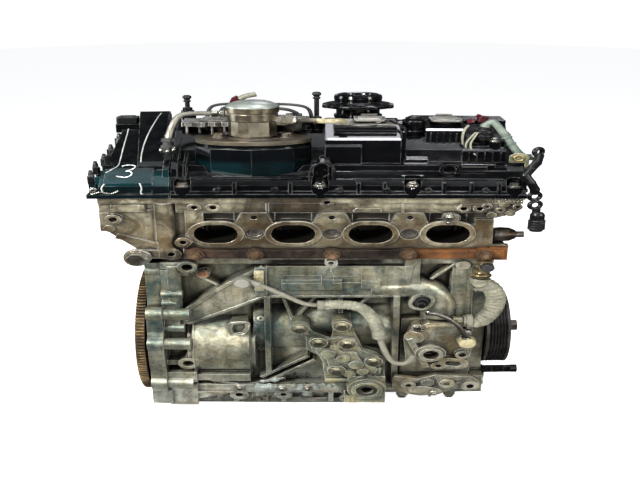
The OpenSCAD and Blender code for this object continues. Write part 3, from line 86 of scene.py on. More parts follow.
# ---------------------------------------------------------------- materials
class Mat:
    """Small helper that strings shader nodes together."""

    def __init__(self, name):
        self.m = bpy.data.materials.new(name)
        self.m.use_nodes = True
        self.t = self.m.node_tree
        self.b = self.t.nodes["Principled BSDF"]
        self.pos = self.t.nodes.new("ShaderNodeTexCoord").outputs["Object"]

    def node(self, kind, ins=None, **props):
        n = self.t.nodes.new("ShaderNode" + kind)
        for k, v in props.items():
            setattr(n, k, v)
        for k, v in (ins or {}).items():
            self.put(n.inputs[k], v)
        return n

    def put(self, socket, v):
        if isinstance(v, bpy.types.NodeSocket):
            self.t.links.new(v, socket)
        elif isinstance(v, (tuple, list)) and len(v) == 3 and socket.type == "RGBA":
            socket.default_value = (*v, 1)
        else:
            socket.default_value = v

    def at(self, scale=(1, 1, 1), rot=(0, 0, 0), loc=(0, 0, 0)):
        n = self.node("Mapping", {"Vector": self.pos})
        n.inputs["Scale"].default_value = scale
        n.inputs["Rotation"].default_value = rot
        n.inputs["Location"].default_value = loc
        return n.outputs[0]

    def noise(self, scale, detail=4, rough=0.55, dist=0.0, where=None):
        n = self.node("TexNoise", {"Scale": scale, "Detail": detail, "Roughness": rough, "Distortion": dist, "Vector": where or self.pos})
        return n.outputs["Fac"]

    def cells(self, scale, feature="F1", where=None, rnd=1.0):
        n = self.node("TexVoronoi", {"Scale": scale, "Vector": where or self.pos, "Randomness": rnd}, feature=feature)
        return n.outputs["Distance"]

    def ramp(self, fac, stops, ease=False):
        n = self.node("ValToRGB", {"Fac": fac})
        r = n.color_ramp
        if ease:
            r.interpolation = "EASE"
        while len(r.elements) < len(stops):
            r.elements.new(0.5)
        for el, (p, c) in zip(r.elements, stops):
            el.position = p
            el.color = (c, c, c, 1) if isinstance(c, (int, float)) else (*c, 1)
        return n.outputs["Color"]

    def math(self, op, a, b=0.0, clamp=False):
        n = self.node("Math", operation=op, use_clamp=clamp)
        self.put(n.inputs[0], a)
        self.put(n.inputs[1], b)
        return n.outputs[0]

    def mix(self, fac, a, b, kind="MIX"):
        n = self.node("Mix", data_type="RGBA", blend_type=kind)
        self.put(n.inputs[0], fac)
        self.put(n.inputs[6], a)
        self.put(n.inputs[7], b)
        return n.outputs[2]

    def axis(self, which):
        n = self.node("SeparateXYZ", {"Vector": self.pos})
        return n.outputs[which]

    def band(self, which, lo, hi, soft):
        """1 between lo and hi metres along an axis, fading over soft."""
        v = self.axis(which)
        up = self.node("MapRange", {"Value": v, "From Min": lo - soft, "From Max": lo + soft})
        dn = self.node("MapRange", {"Value": v, "From Min": hi - soft, "From Max": hi + soft, "To Min": 1.0, "To Max": 0.0})
        return self.math("MULTIPLY", up.outputs[0], dn.outputs[0])

    def crevice(self, dist=0.03, power=1.4, samples=4):
        """1 in tight corners, 0 in the open."""
        n = self.node("AmbientOcclusion", {"Distance": dist}, samples=samples)
        v = self.math("SUBTRACT", 1.0, n.outputs["AO"], clamp=True)
        return self.math("POWER", v, power)

    def edges(self, radius=0.0012, gain=6.0, samples=4):
        """1 along sharp edges, and the rounded normal."""
        b = self.node("Bevel", {"Radius": radius}, samples=samples)
        g = self.node("NewGeometry")
        d = self.node("VectorMath", operation="DOT_PRODUCT")
        self.put(d.inputs[0], b.outputs[0])
        self.put(d.inputs[1], g.outputs["Normal"])
        m = self.math("MULTIPLY", self.math("SUBTRACT", 1.0, d.outputs["Value"], clamp=True), gain, clamp=True)
        return m, b.outputs[0]

    def bump(self, layers, normal=None):
        """layers is a list of (height socket, distance in metres, strength)."""
        for h, dist, k in layers:
            n = self.node("Bump", {"Height": h, "Distance": dist, "Strength": k})
            if normal is not None:
                self.put(n.inputs["Normal"], normal)
            normal = n.outputs[0]
        self.put(self.b.inputs["Normal"], normal)

    def set(self, **kw):
        names = {"color": "Base Color", "metal": "Metallic", "rough": "Roughness", "coat": "Coat Weight", "coat_rough": "Coat Roughness", "spec": "Specular IOR Level", "aniso": "Anisotropic", "ior": "IOR", "sheen": "Sheen Weight"}
        for k, v in kw.items():
            self.put(self.b.inputs[names[k]], v)
        return self.m


def cast_metal(name, light, mid, dark, tint, metal=0.8, rough=(0.26, 0.50), grain=1.0, grime_and_shade_tone=(0.020, 0.017, 0.012), grime_and_shade_amount=1.0, extra=None, seed=0.0, edge=0.6, tint_amount=0.65, wide_amount=1.0):
    m = Mat(name)
    big = m.noise(8, 5, 0.62, 0.9, m.at(loc=(seed, seed * 2, 0)))
    body = m.ramp(big, [(0.34, dark), (0.47, mid), (0.60, light)])
    patch = m.ramp(m.noise(19, 6, 0.64, 1.4, m.at(loc=(seed, 3, seed))), [(0.46, 0.0), (0.58, 1.0)])
    body = m.mix(m.math("MULTIPLY", patch, tint_amount), body, tint)
    streak = m.ramp(m.noise(34, 5, 0.62, 0.5, m.at(scale=(1.5, 1.5, 0.25))), [(0.40, 0.42), (0.58, 1.0)])
    body = m.mix(0.6, body, m.mix(1.0, body, streak, "MULTIPLY"))
    stain = m.ramp(m.noise(75, 6, 0.7, 0.8), [(0.36, 0.45), (0.52, 1.0)])
    body = m.mix(0.7, body, m.mix(1.0, body, stain, "MULTIPLY"))
    speck = m.ramp(m.noise(420, 3, 0.7), [(0.34, 0.60), (0.56, 1.0)])
    body = m.mix(0.6, body, m.mix(1.0, body, speck, "MULTIPLY"))
    if extra:
        body = extra(m, body)
    # darkening of corners and recesses: dirt, and painted shade in the hollows
    near = m.crevice(0.008, 0.85)
    wide = m.math("MULTIPLY", m.crevice(0.045, 1.7), wide_amount)
    grime_and_shade = m.math("MULTIPLY", m.math("ADD", near, wide), grime_and_shade_amount * 1.25, clamp=True)
    body = m.mix(grime_and_shade, body, grime_and_shade_tone)
    # edges lightened towards pale cream: wear, and a painted highlight along the edges
    edge_mask, nrm = m.edges(0.0018, 4.5)
    scuffed_and_highlit = m.math("MULTIPLY", edge_mask, m.ramp(m.noise(60, 4, 0.6), [(0.38, 0.35), (0.58, 1.0)]))
    body = m.mix(m.math("MULTIPLY", scuffed_and_highlit, edge), body, (0.88, 0.87, 0.80))
    r = m.node("MapRange", {"Value": m.noise(60, 5, 0.6), "From Min": 0.3, "From Max": 0.7, "To Min": rough[0], "To Max": rough[1]}).outputs[0]
    r = m.math("ADD", r, m.math("MULTIPLY", grime_and_shade, 0.35), clamp=True)
    m.bump([(m.noise(55, 3, 0.5), 0.0030, 0.22 * grain), (m.noise(160, 3, 0.5), 0.0012, 0.35 * grain), (m.noise(800, 2, 0.6), 0.0004, 0.45 * grain)], nrm)
    met = m.math("MULTIPLY", m.math("SUBTRACT", 1.0, grime_and_shade, clamp=True), metal)
    return m.set(color=body, metal=met, rough=r)


def heat_stain_and_port_shade(m, body):
    """Brown heat film round the exhaust ports, with soot and painted shade in and above the ports."""
    z = m.band(2, 0.228, 0.278, 0.014)
    y = m.node("MapRange", {"Value": m.axis(1), "From Min": -0.100, "From Max": -0.085, "To Min": 1.0, "To Max": 0.0}).outputs[0]
    f = m.math("MULTIPLY", m.math("MULTIPLY", z, y), m.ramp(m.noise(38, 4, 0.6), [(0.35, 0.15), (0.62, 0.85)]))
    body = m.mix(m.math("MULTIPLY", f, 0.75), body, (0.22, 0.15, 0.075))
    # soot and painted shade inside the ports and in the hollows above them
    deep = m.node("MapRange", {"Value": m.axis(1), "From Min": -0.1068, "From Max": -0.1035}).outputs[0]
    sunk = m.node("MapRange", {"Value": m.axis(1), "From Min": -0.1045, "From Max": -0.0990}).outputs[0]
    front = m.node("MapRange", {"Value": m.axis(1), "From Min": -0.02, "From Max": 0.0, "To Min": 1.0, "To Max": 0.0}).outputs[0]
    port_soot_and_shade = m.math("MULTIPLY", m.math("MULTIPLY", deep, front), m.math("MULTIPLY", m.band(2, 0.2318, 0.2780, 0.0012), m.band(0, 0.072, 0.408, 0.003)))
    pocket = m.math("MULTIPLY", m.math("MULTIPLY", sunk, front), m.math("MULTIPLY", m.band(2, 0.268, 0.2975, 0.0015), m.band(0, 0.072, 0.408, 0.003)))
    body = m.mix(m.math("MULTIPLY", pocket, 0.93), body, (0.008, 0.0065, 0.005))
    return m.mix(port_soot_and_shade, body, (0.004, 0.0035, 0.003))


def pale_low(m, body):
    """The lower band is paler, with white corrosion."""
    z = m.node("MapRange", {"Value": m.axis(2), "From Min": -0.04, "From Max": -0.12, "To Min": 0.0, "To Max": 1.0}).outputs[0]
    f = m.math("MULTIPLY", z, m.ramp(m.noise(28, 6, 0.65, 0.8), [(0.42, 0.0), (0.58, 0.8)]))
    body = m.mix(f, body, (0.60, 0.63, 0.60))
    # painted shadow line under the rail
    rail_shadow = m.math("MULTIPLY", m.band(2, 0.187, 0.2070, 0.002), m.band(0, 0.164, 0.303, 0.006))
    front = m.node("MapRange", {"Value": m.axis(1), "From Min": -0.06, "From Max": -0.04, "To Min": 1.0, "To Max": 0.0}).outputs[0]
    return m.mix(m.math("MULTIPLY", m.math("MULTIPLY", rail_shadow, front), 0.90), body, (0.010, 0.008, 0.008))


MATS = {}
MATS["engine_block"] = cast_metal("cast_block", (0.74, 0.715, 0.565), (0.42, 0.44, 0.365), (0.135, 0.200, 0.190), (0.47, 0.41, 0.25), metal=0.80, wide_amount=0.75, extra=pale_low, seed=1.3, tint_amount=0.5)
MATS["cylinder_head"] = cast_metal("cast_head", (0.56, 0.52, 0.38), (0.190, 0.168, 0.120), (0.042, 0.035, 0.026), (0.120, 0.088, 0.056), metal=0.75, extra=heat_stain_and_port_shade, seed=4.1, edge=0.7)
MATS["oil_pan"] = cast_metal("cast_pan", (0.62, 0.64, 0.56), (0.38, 0.41, 0.37), (0.16, 0.19, 0.17), (0.42, 0.34, 0.22), metal=0.70, seed=7.7)
MATS["support_bracket"] = cast_metal("cast_bracket", (0.52, 0.47, 0.29), (0.26, 0.265, 0.175), (0.09, 0.125, 0.10), (0.22, 0.28, 0.245), metal=0.55, seed=2.2, edge=0.7)
MATS["coolant_housing"] = cast_metal("cast_housing", (0.66, 0.63, 0.50), (0.38, 0.39, 0.32), (0.16, 0.18, 0.15), (0.46, 0.36, 0.19), metal=0.70, seed=5.2, edge=0.8)


def black_plastic(name, base=(0.0014, 0.0015, 0.0020), dusty=0.026, rough=(0.09, 0.20), scuff_and_highlight_amount=0.30, seed=0.0, coat=0.40, wave=1.0, low=None):
    m = Mat(name)
    cloud = m.ramp(m.noise(11, 5, 0.6, 0.5, m.at(loc=(seed, 0, seed))), [(0.40, 0.0), (0.66, 1.0)])
    col = m.mix(cloud, base, tuple(c * 1.9 for c in base))
    # low paints a teal reflection on a lower band of the surface
    if low:
        f = m.node("MapRange", {"Value": m.axis(2), "From Min": low[1], "From Max": low[0], "To Min": 1.0, "To Max": 0.0}).outputs[0]
        f = m.math("MULTIPLY", f, m.ramp(m.noise(16, 3, 0.5, 0.5), [(0.40, 0.35), (0.58, 1.0)]))
        if len(low) > 3:
            foot = m.node("MapRange", {"Value": m.axis(2), "From Min": low[3] - 0.003, "From Max": low[3] + 0.003, "To Min": 0.22, "To Max": 1.0}).outputs[0]
            f = m.math("MULTIPLY", f, foot)
            face = m.node("MapRange", {"Value": m.axis(1), "From Min": -0.090, "From Max": -0.066, "To Min": 1.0, "To Max": 0.06}).outputs[0]
            f = m.math("MULTIPLY", f, face)
        col = m.mix(f, col, low[2])
    up = m.node("SeparateXYZ", {"Vector": m.node("NewGeometry").outputs["Normal"]}).outputs[2]
    top = m.node("MapRange", {"Value": up, "From Min": 0.2, "From Max": 0.95}).outputs[0]
    dust = m.math("MULTIPLY", m.ramp(m.noise(70, 6, 0.7, 0.4), [(0.42, 0.05), (0.68, 1.0)]), m.math("MULTIPLY", m.math("ADD", top, 0.05), dusty), clamp=True)
    col = m.mix(dust, col, (0.20, 0.19, 0.17))
    corner = m.math("MULTIPLY", m.crevice(0.010, 1.3), 0.5, clamp=True)
    col = m.mix(m.math("MULTIPLY", corner, dusty), col, (0.10, 0.09, 0.07))
    # edges lightened towards pale grey: wear, and painted highlight lines along the edges
    edge_mask, nrm = m.edges(0.0020, 4.0)
    chips_and_glints = m.ramp(m.noise(60, 3, 0.6), [(0.42, 0.15), (0.60, 1.0)])
    col = m.mix(m.math("MULTIPLY", m.math("MULTIPLY", edge_mask, chips_and_glints), scuff_and_highlight_amount), col, (0.42, 0.43, 0.42))
    r = m.node("MapRange", {"Value": m.noise(45, 6, 0.65), "From Min": 0.3, "From Max": 0.7, "To Min": rough[0], "To Max": rough[1]}).outputs[0]
    r = m.math("ADD", r, m.math("MULTIPLY", dust, 0.8), clamp=True)
    m.bump([(m.noise(18, 3, 0.5, 0, m.at(loc=(seed, 0, 0))), 0.0040, 0.16 * wave), (m.noise(70, 3, 0.5), 0.0006, 0.08 * wave)], nrm)
    return m.set(color=col, rough=r, coat=coat, coat_rough=0.06, spec=0.34)


MATS["head_cover"] = black_plastic("cover_gloss", seed=0.4)
# the case cover and the pedestal carry a painted teal reflection on a lower band
MATS["timing_case_cover"] = black_plastic("case_cover_gloss", base=(0.0016, 0.0020, 0.0025), dusty=0.035, scuff_and_highlight_amount=0.45, seed=3.0, low=(0.388, 0.378, (0.0042, 0.0250, 0.0290), 0.357))
MATS["fuel_pump_pedestal"] = black_plastic("pedestal_gloss", base=(0.0016, 0.0021, 0.0026), dusty=0.025, rough=(0.12, 0.20), seed=6.0, wave=0.5, low=(0.402, 0.392, (0.0030, 0.0135, 0.0160)))
MATS["matte_black"] = black_plastic("satin_black", base=(0.0036, 0.0036, 0.0040), dusty=0.07, rough=(0.26, 0.42), coat=0.25, seed=8.0)


def steel(name, light, dark, rough=(0.22, 0.42), film=None, brushed=None, grime_and_shade_amount=0.8, metal=1.0, seed=0.0):
    m = Mat(name)
    c = m.ramp(m.noise(34, 5, 0.6, 0.3, m.at(loc=(seed, seed, 0))), [(0.34, dark), (0.62, light)])
    if film:
        c = m.mix(m.ramp(m.noise(19, 5, 0.65, 0.8, m.at(loc=(seed, 0, 2))), [(0.46, 0.0), (0.62, 0.65)]), c, film)
    # darkening of corners and recesses: dirt, and painted shade
    low = m.math("MULTIPLY", m.crevice(0.010, 1.2), grime_and_shade_amount * 1.4, clamp=True)
    c = m.mix(low, c, (0.05, 0.035, 0.022))
    edge_mask, nrm = m.edges(0.0008, 4.0)
    c = m.mix(m.math("MULTIPLY", edge_mask, 0.4), c, (0.9, 0.9, 0.86))
    r = m.node("MapRange", {"Value": m.noise(110, 5, 0.65), "From Min": 0.3, "From Max": 0.7, "To Min": rough[0], "To Max": rough[1]}).outputs[0]
    layers = [(m.noise(500, 2, 0.6), 0.00025, 0.35)]
    if brushed:
        layers.append((m.noise(260, 3, 0.6, 0, m.at(scale=brushed)), 0.0003, 0.4))
    m.bump(layers, nrm)
    met = m.math("MULTIPLY", m.math("SUBTRACT", 1.0, low, clamp=True), metal)
    return m.set(color=c, metal=met, rough=r)


MATS["steel"] = steel("plated_steel", (0.62, 0.61, 0.57), (0.36, 0.34, 0.29), film=(0.40, 0.30, 0.18))
MATS["pale_bolt"] = steel("pale_bolts", (0.74, 0.71, 0.58), (0.46, 0.44, 0.34), film=(0.50, 0.43, 0.26), grime_and_shade_amount=0.22, seed=4)
MATS["pump"] = steel("pump_steel", (0.30, 0.275, 0.225), (0.17, 0.152, 0.118), rough=(0.28, 0.42), film=(0.20, 0.168, 0.115), brushed=(0.15, 0.15, 3.0), grime_and_shade_amount=0.6)
MATS["feed_pipe"] = steel("feed_pipe_steel", (0.30, 0.295, 0.265), (0.17, 0.165, 0.145), rough=(0.36, 0.55), film=(0.22, 0.205, 0.17), seed=2, metal=0.8)
MATS["flange"] = steel("flange_steel", (0.19, 0.172, 0.135), (0.10, 0.088, 0.066), rough=(0.34, 0.55), film=(0.14, 0.112, 0.078), metal=0.85, seed=3)
MATS["brass"] = steel("brass_fitting", (0.66, 0.54, 0.30), (0.42, 0.32, 0.16), film=(0.30, 0.24, 0.14), seed=5)
MATS["plug"] = steel("grimy_plug", (0.13, 0.12, 0.10), (0.050, 0.046, 0.038), rough=(0.38, 0.6), film=(0.085, 0.080, 0.066), metal=0.8, seed=6)
MATS["dark_steel"] = steel("dark_steel", (0.24, 0.23, 0.21), (0.10, 0.095, 0.085), rough=(0.35, 0.6), film=(0.16, 0.11, 0.07), seed=9)


def rusty(name, base, light, orange, seed=0.0, bright_end=False):
    m = Mat(name)
    a = m.noise(48, 7, 0.7, 0.5, m.at(loc=(seed, 0, 0)))
    c = m.ramp(a, [(0.32, base), (0.50, light), (0.64, orange)])
    if bright_end:
        f = m.node("MapRange", {"Value": m.axis(0), "From Min": 0.322, "From Max": 0.352}).outputs[0]
        f = m.math("MULTIPLY", f, m.ramp(m.noise(26, 4, 0.6), [(0.36, 0.45), (0.56, 1.0)]))
        c = m.mix(m.math("MULTIPLY", f, 0.85), c, (0.205, 0.080, 0.018))
        g = m.node("MapRange", {"Value": m.axis(0), "From Min": 0.12, "From Max": 0.07}).outputs[0]
        c = m.mix(m.math("MULTIPLY", g, 0.4), c, (0.12, 0.060, 0.028))
    fleck = m.ramp(m.cells(420), [(0.10, 0.45), (0.34, 1.0)])
    c = m.mix(0.7, c, m.mix(1.0, c, fleck, "MULTIPLY"))
    # darkening of corners and recesses: dirt, and painted shade
    low = m.math("MULTIPLY", m.crevice(0.012, 1.2), 1.2, clamp=True)
    c = m.mix(low, c, (0.02, 0.012, 0.008))
    edge_mask, nrm = m.edges(0.0010, 4.0)
    c = m.mix(m.math("MULTIPLY", edge_mask, 0.30), c, (0.36, 0.24, 0.14))
    m.bump([(m.noise(240, 5, 0.7), 0.0008, 0.7), (m.cells(420), 0.0004, 0.4)], nrm)
    r = m.node("MapRange", {"Value": a, "From Min": 0.3, "From Max": 0.7, "To Min": 0.48, "To Max": 0.82}).outputs[0]
    return m.set(color=c, metal=m.ramp(a, [(0.3, 0.55), (0.6, 0.1)]), rough=r)


MATS["rail"] = rusty("rusty_rail", (0.0060, 0.0042, 0.0034), (0.0135, 0.0085, 0.0062), (0.032, 0.0175, 0.0100), bright_end=True)
MATS["gear"] = rusty("rusty_teeth", (0.028, 0.020, 0.012), (0.095, 0.066, 0.032), (0.27, 0.185, 0.080), seed=2.0)
MATS["nuts"] = rusty("rusty_nuts", (0.035, 0.022, 0.013), (0.085, 0.052, 0.028), (0.16, 0.10, 0.055), seed=4.0)


def rubber(name, base, dust, rough=0.62, seed=0.0, amount=0.6):
    m = Mat(name)
    f = m.ramp(m.noise(55, 6, 0.7, 0.4, m.at(loc=(seed, seed, 1))), [(0.36, 0.0), (0.62, 1.0)])
    c = m.mix(m.math("MULTIPLY", f, amount), base, dust)
    # darkening of corners and recesses: dirt, and painted shade
    low = m.math("MULTIPLY", m.crevice(0.006, 1.0), 1.0, clamp=True)
    c = m.mix(m.math("MULTIPLY", low, 0.8), c, tuple(v * 0.30 for v in base))
    edge_mask, nrm = m.edges(0.0007, 3.0)
    m.bump([(m.noise(420, 3, 0.6), 0.0004, 0.5)], nrm)
    r = m.node("MapRange", {"Value": m.noise(80, 4, 0.6), "From Min": 0.3, "From Max": 0.7, "To Min": rough - 0.12, "To Max": rough + 0.14}).outputs[0]
    return m.set(color=c, rough=r, spec=0.35)


def sleeved(name):
    """Dark plated tube whose front end carries a cream sleeve."""
    m = Mat(name)
    a = m.noise(90, 5, 0.65, 0.4)
    tube_ = m.ramp(a, [(0.36, (0.07, 0.066, 0.055)), (0.60, (0.22, 0.205, 0.165))])
    cream = m.ramp(a, [(0.36, (0.21, 0.175, 0.095)), (0.62, (0.42, 0.38, 0.26))])
    f = m.node("MapRange", {"Value": m.math("ADD", m.axis(0), m.math("MULTIPLY", a, 0.004)), "From Min": 0.2235, "From Max": 0.2250}).outputs[0]
    # darkening of corners and recesses: dirt, and painted shade
    low = m.math("MULTIPLY", m.crevice(0.008, 1.1), 1.0, clamp=True)
    c = m.mix(low, m.mix(f, tube_, cream), (0.02, 0.016, 0.011))
    edge_mask, nrm = m.edges(0.0008, 4.0)
    m.bump([(m.noise(400, 3, 0.6), 0.0003, 0.4)], nrm)
    r = m.node("MapRange", {"Value": a, "From Min": 0.3, "From Max": 0.7, "To Min": 0.30, "To Max": 0.50}).outputs[0]
    return m.set(color=c, metal=m.math("MULTIPLY", m.math("SUBTRACT", 1.0, f, clamp=True), 0.8), rough=r)


MATS["hose_grey"] = rubber("hose_grey", (0.10, 0.10, 0.078), (0.35, 0.335, 0.25), rough=0.46, seed=1)
MATS["conduit_grey"] = rubber("conduit_grey", (0.12, 0.122, 0.095), (0.36, 0.345, 0.265), rough=0.46, seed=2)
MATS["vent_green"] = rubber("vent_hose_pale", (0.085, 0.115, 0.098), (0.24, 0.265, 0.225), rough=0.45, seed=3)
MATS["cream"] = rubber("cream_plastic", (0.36, 0.33, 0.205), (0.20, 0.165, 0.095), rough=0.42, seed=4, amount=0.7)
MATS["fuel_line"] = sleeved("fuel_line_sleeved")
MATS["cable"] = rubber("cable_pale", (0.20, 0.195, 0.16), (0.10, 0.092, 0.07), rough=0.5, seed=5)
MATS["maroon"] = rubber("maroon_clip", (0.050, 0.005, 0.009), (0.085, 0.024, 0.028), rough=0.35, seed=6, amount=0.4)
MATS["rubber_black"] = rubber("black_rubber", (0.016, 0.016, 0.017), (0.10, 0.10, 0.09), rough=0.6, seed=7, amount=0.5)
MATS["pulley"] = rubber("pulley_black", (0.020, 0.020, 0.021), (0.12, 0.11, 0.10), rough=0.42, seed=8, amount=0.5)
MATS["white"] = rubber("white_plastic", (0.20, 0.20, 0.175), (0.115, 0.108, 0.088), rough=0.4, seed=9, amount=0.4)
MATS["chalk"] = rubber("chalk", (0.82, 0.86, 0.86), (0.62, 0.68, 0.68), rough=0.8, seed=10, amount=0.6)

LOOK = {
    "engine_block": "engine_block", "main_bearing_caps": "dark_steel", "oil_pan": "oil_pan", "cylinder_head": "cylinder_head",
    "head_gasket": "dark_steel", "core_plugs": "plug", "head_cover": "head_cover", "timing_case_cover": "timing_case_cover",
    "lower_timing_cover": "oil_pan", "exhaust_clamp_rail": "rail", "rail_nuts": "nuts", "fuel_pump_body": "pump",
    "fuel_pump_flange": "flange", "fuel_pump_pedestal": "fuel_pump_pedestal", "fuel_pump_bolts": "steel", "pump_plunger": "steel",
    "fuel_feed_pipe": "feed_pipe", "fuel_line": "fuel_line", "ignition_coils": "matte_black", "filler_neck": "head_cover", "filler_cap": "head_cover",
    "cover_bolts": "dark_steel", "cover_studs": "matte_black", "harness_connector": "matte_black", "chain_tensioner": "steel",
    "crankshaft": "steel", "flexplate": "dark_steel", "ring_gear": "gear", "flexplate_bolts": "steel", "pulley_hub": "pulley",
    "pulley_rubber": "rubber_black", "pulley_ring": "pulley", "pulley_bolt": "dark_steel", "connecting_rods": "steel", "pistons": "steel",
    "piston_pins": "steel", "intake_camshaft": "steel", "exhaust_camshaft": "steel", "idler_sprocket": "steel", "timing_chains": "dark_steel",
    "valves": "steel", "valve_springs": "steel", "coolant_housing": "coolant_housing", "coolant_sensor": "matte_black",
    "coolant_hose": "hose_grey", "hose_fitting": "brass", "lifting_bracket": "support_bracket", "vacuum_plug": "cream",
    "sensor_connector": "white", "sensor_cable": "cable", "cable_conduit": "conduit_grey", "support_bracket": "support_bracket",
    "bracket_bolts": "pale_bolt", "pan_bolts": "steel", "side_arm": "coolant_housing", "tension_strut": "matte_black",
    "vent_connector": "matte_black", "vent_hose": "vent_green", "vent_valve": "matte_black", "oil_pressure_sensor": "dark_steel",
}
for name, obj in NODES.items():
    mat = MATS[LOOK[name]]
    for s in obj.material_slots:
        s.material = mat
    if not obj.material_slots:
        obj.data.materials.append(mat)


# ---------------------------------------------------------------- mesh helpers
def finish_mesh(name, bm, mat, body="engine", smooth=True, angle=35):
    me = bpy.data.meshes.new(name)
    bmesh.ops.recalc_face_normals(bm, faces=bm.faces)
    bm.to_mesh(me)
    bm.free()
    ob = bpy.data.objects.new(name, me)
    bpy.context.scene.collection.objects.link(ob)
    me.materials.append(MATS[mat])
    if smooth:
        for p in me.polygons:
            p.use_smooth = True
        me.set_sharp_from_angle(angle=math.radians(angle))
    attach(ob, body)
    return ob


def catmull(pts, n):
    pts = [Vector(p) for p in pts]
    full = [pts[0] * 2 - pts[1]] + pts + [pts[-1] * 2 - pts[-2]]
    out = []
    for i in range(1, len(full) - 2):
        a, b, c, d = full[i - 1:i + 3]
        for k in range(n):
            t = k / n
            out.append(0.5 * ((2 * b) + (c - a) * t + (2 * a - 5 * b + 4 * c - d) * t * t + (3 * b - a - 3 * c + d) * t ** 3))
    out.append(pts[-1])
    return out


def tube(bm, pts, radius, seg=16, caps=True):
    """Tube along pts; radius is a number or a function of (arc length, whole length)."""
    lens = [0.0]
    for a, b in zip(pts, pts[1:]):
        lens.append(lens[-1] + (b - a).length)
    up = Vector((0.13, 0.31, 0.94))
    rings, prev = [], None
    for i, p in enumerate(pts):
        t = (pts[min(i + 1, len(pts) - 1)] - pts[max(i - 1, 0)]).normalized()
        if prev is None:
            u = t.cross(up).normalized()
        else:
            u = (prev - t * prev.dot(t)).normalized()
        prev = u
        v = t.cross(u)
        r = radius(lens[i], lens[-1]) if callable(radius) else radius
        rings.append([bm.verts.new(p + (u * math.cos(2 * math.pi * k / seg) + v * math.sin(2 * math.pi * k / seg)) * r) for k in range(seg)])
    for a, b in zip(rings, rings[1:]):
        for k in range(seg):
            bm.faces.new((a[k], a[(k + 1) % seg], b[(k + 1) % seg], b[k]))
    if caps:
        bm.faces.new(rings[0][::-1])
        bm.faces.new(rings[-1])


def resample(pts, step):
    out, carry = [pts[0]], 0.0
    for a, b in zip(pts, pts[1:]):
        l = (b - a).length
        s = step - carry
        while s <= l:
            out.append(a + (b - a) * (s / l))
            s += step
        carry = l - (s - step)
    if (out[-1] - pts[-1]).length > step * 0.3:
        out.append(pts[-1])
    else:
        out[-1] = pts[-1]
    return out


def place(pos, axis=(0, 0, 1), spin=0.0):
    q = Vector(axis).normalized().to_track_quat("Z", "Y")
    return Matrix.Translation(pos) @ q.to_matrix().to_4x4() @ Matrix.Rotation(spin, 4, "Z")


def lathe(bm, prof, M, seg=32, close=False):
    """prof is a list of (radius, height) in millimetres."""
    rings = []
    for r, h in prof:
        if r <= 1e-6:
            rings.append([bm.verts.new(M @ Vector((0, 0, h / 1000)))])
        else:
            rings.append([bm.verts.new(M @ Vector((r / 1000 * math.cos(2 * math.pi * k / seg), r / 1000 * math.sin(2 * math.pi * k / seg), h / 1000))) for k in range(seg)])
    pairs = list(zip(rings, rings[1:])) + ([(rings[-1], rings[0])] if close else [])
    for a, b in pairs:
        for k in range(seg):
            k2 = (k + 1) % seg
            if len(a) == 1 and len(b) == 1:
                continue
            if len(a) == 1:
                bm.faces.new((a[0], b[k], b[k2]))
            elif len(b) == 1:
                bm.faces.new((a[k], a[k2], b[0]))
            else:
                bm.faces.new((a[k], a[k2], b[k2], b[k]))


def prism(bm, pts, h0, h1, M, chamfer=0.6):
    """Closed prism of 2-D points (mm) between two heights (mm) with a chamfered top rim."""
    c = Vector((sum(p[0] for p in pts) / len(pts), sum(p[1] for p in pts) / len(pts)))
    def ring(h, inset):
        out = []
        for p in pts:
            v = Vector(p) - c
            l = max(v.length, 1e-6)
            v = v * max((l - inset) / l, 0.0) + c
            out.append(bm.verts.new(M @ Vector((v.x / 1000, v.y / 1000, h / 1000))))
        return out
    s = 1 if h1 > h0 else -1
    rings = [ring(h0, 0), ring(h1 - s * chamfer, 0), ring(h1, chamfer)]
    n = len(pts)
    for a, b in zip(rings, rings[1:]):
        for k in range(n):
            bm.faces.new((a[k], a[(k + 1) % n], b[(k + 1) % n], b[k]))
    bm.faces.new(rings[0][::-1])
    bm.faces.new(rings[-1])


def ngon(n, r, turn=0.0):
    return [(r * math.cos(2 * math.pi * k / n + turn), r * math.sin(2 * math.pi * k / n + turn)) for k in range(n)]


def rrect(w, h, r, n=4):
    out = []
    for cx, cy, a0 in ((w / 2 - r, h / 2 - r, 0), (-w / 2 + r, h / 2 - r, 90), (-w / 2 + r, -h / 2 + r, 180), (w / 2 - r, -h / 2 + r, 270)):
        for k in range(n + 1):
            a = math.radians(a0 + 90 * k / n)
            out.append((cx + r * math.cos(a), cy + r * math.sin(a)))
    return out


# ---------------------------------------------------------------- hoses and cables
def wavy(base, amp, pitch, smooth_end=0.006):
    def f(s, total):
        fade = min(1.0, min(s, total - s) / smooth_end)
        return base + amp * fade * (0.5 - 0.5 * math.cos(2 * math.pi * s / pitch)) ** 0.7
    return f


HOSE = [(179, -114, 163.3), (179, -114, 156), (194, -114, 138), (199, -114, 112), (193, -115, 86), (180, -116, 68), (160.5, -116, 68)]
bm = bmesh.new()
tube(bm, resample(catmull([P(*p) for p in HOSE], 24), 0.0011), wavy(0.0120, 0.0011, 0.0072), 28)
hose = finish_mesh("ribbed_coolant_hose", bm, "hose_grey", angle=60)
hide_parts("coolant_hose")

CONDUIT = [(-12.4, -134, 113), (-4, -134, 113), (8, -134, 115), (34, -134, 108), (50, -135, 82), (57, -136, 52), (58.4, -136.8, 41)]
bm = bmesh.new()
tube(bm, resample(catmull([P(*p) for p in CONDUIT], 24), 0.0009), wavy(0.0084, 0.0007, 0.0052), 24)
conduit = finish_mesh("corrugated_conduit", bm, "conduit_grey", angle=60)
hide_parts("cable_conduit")

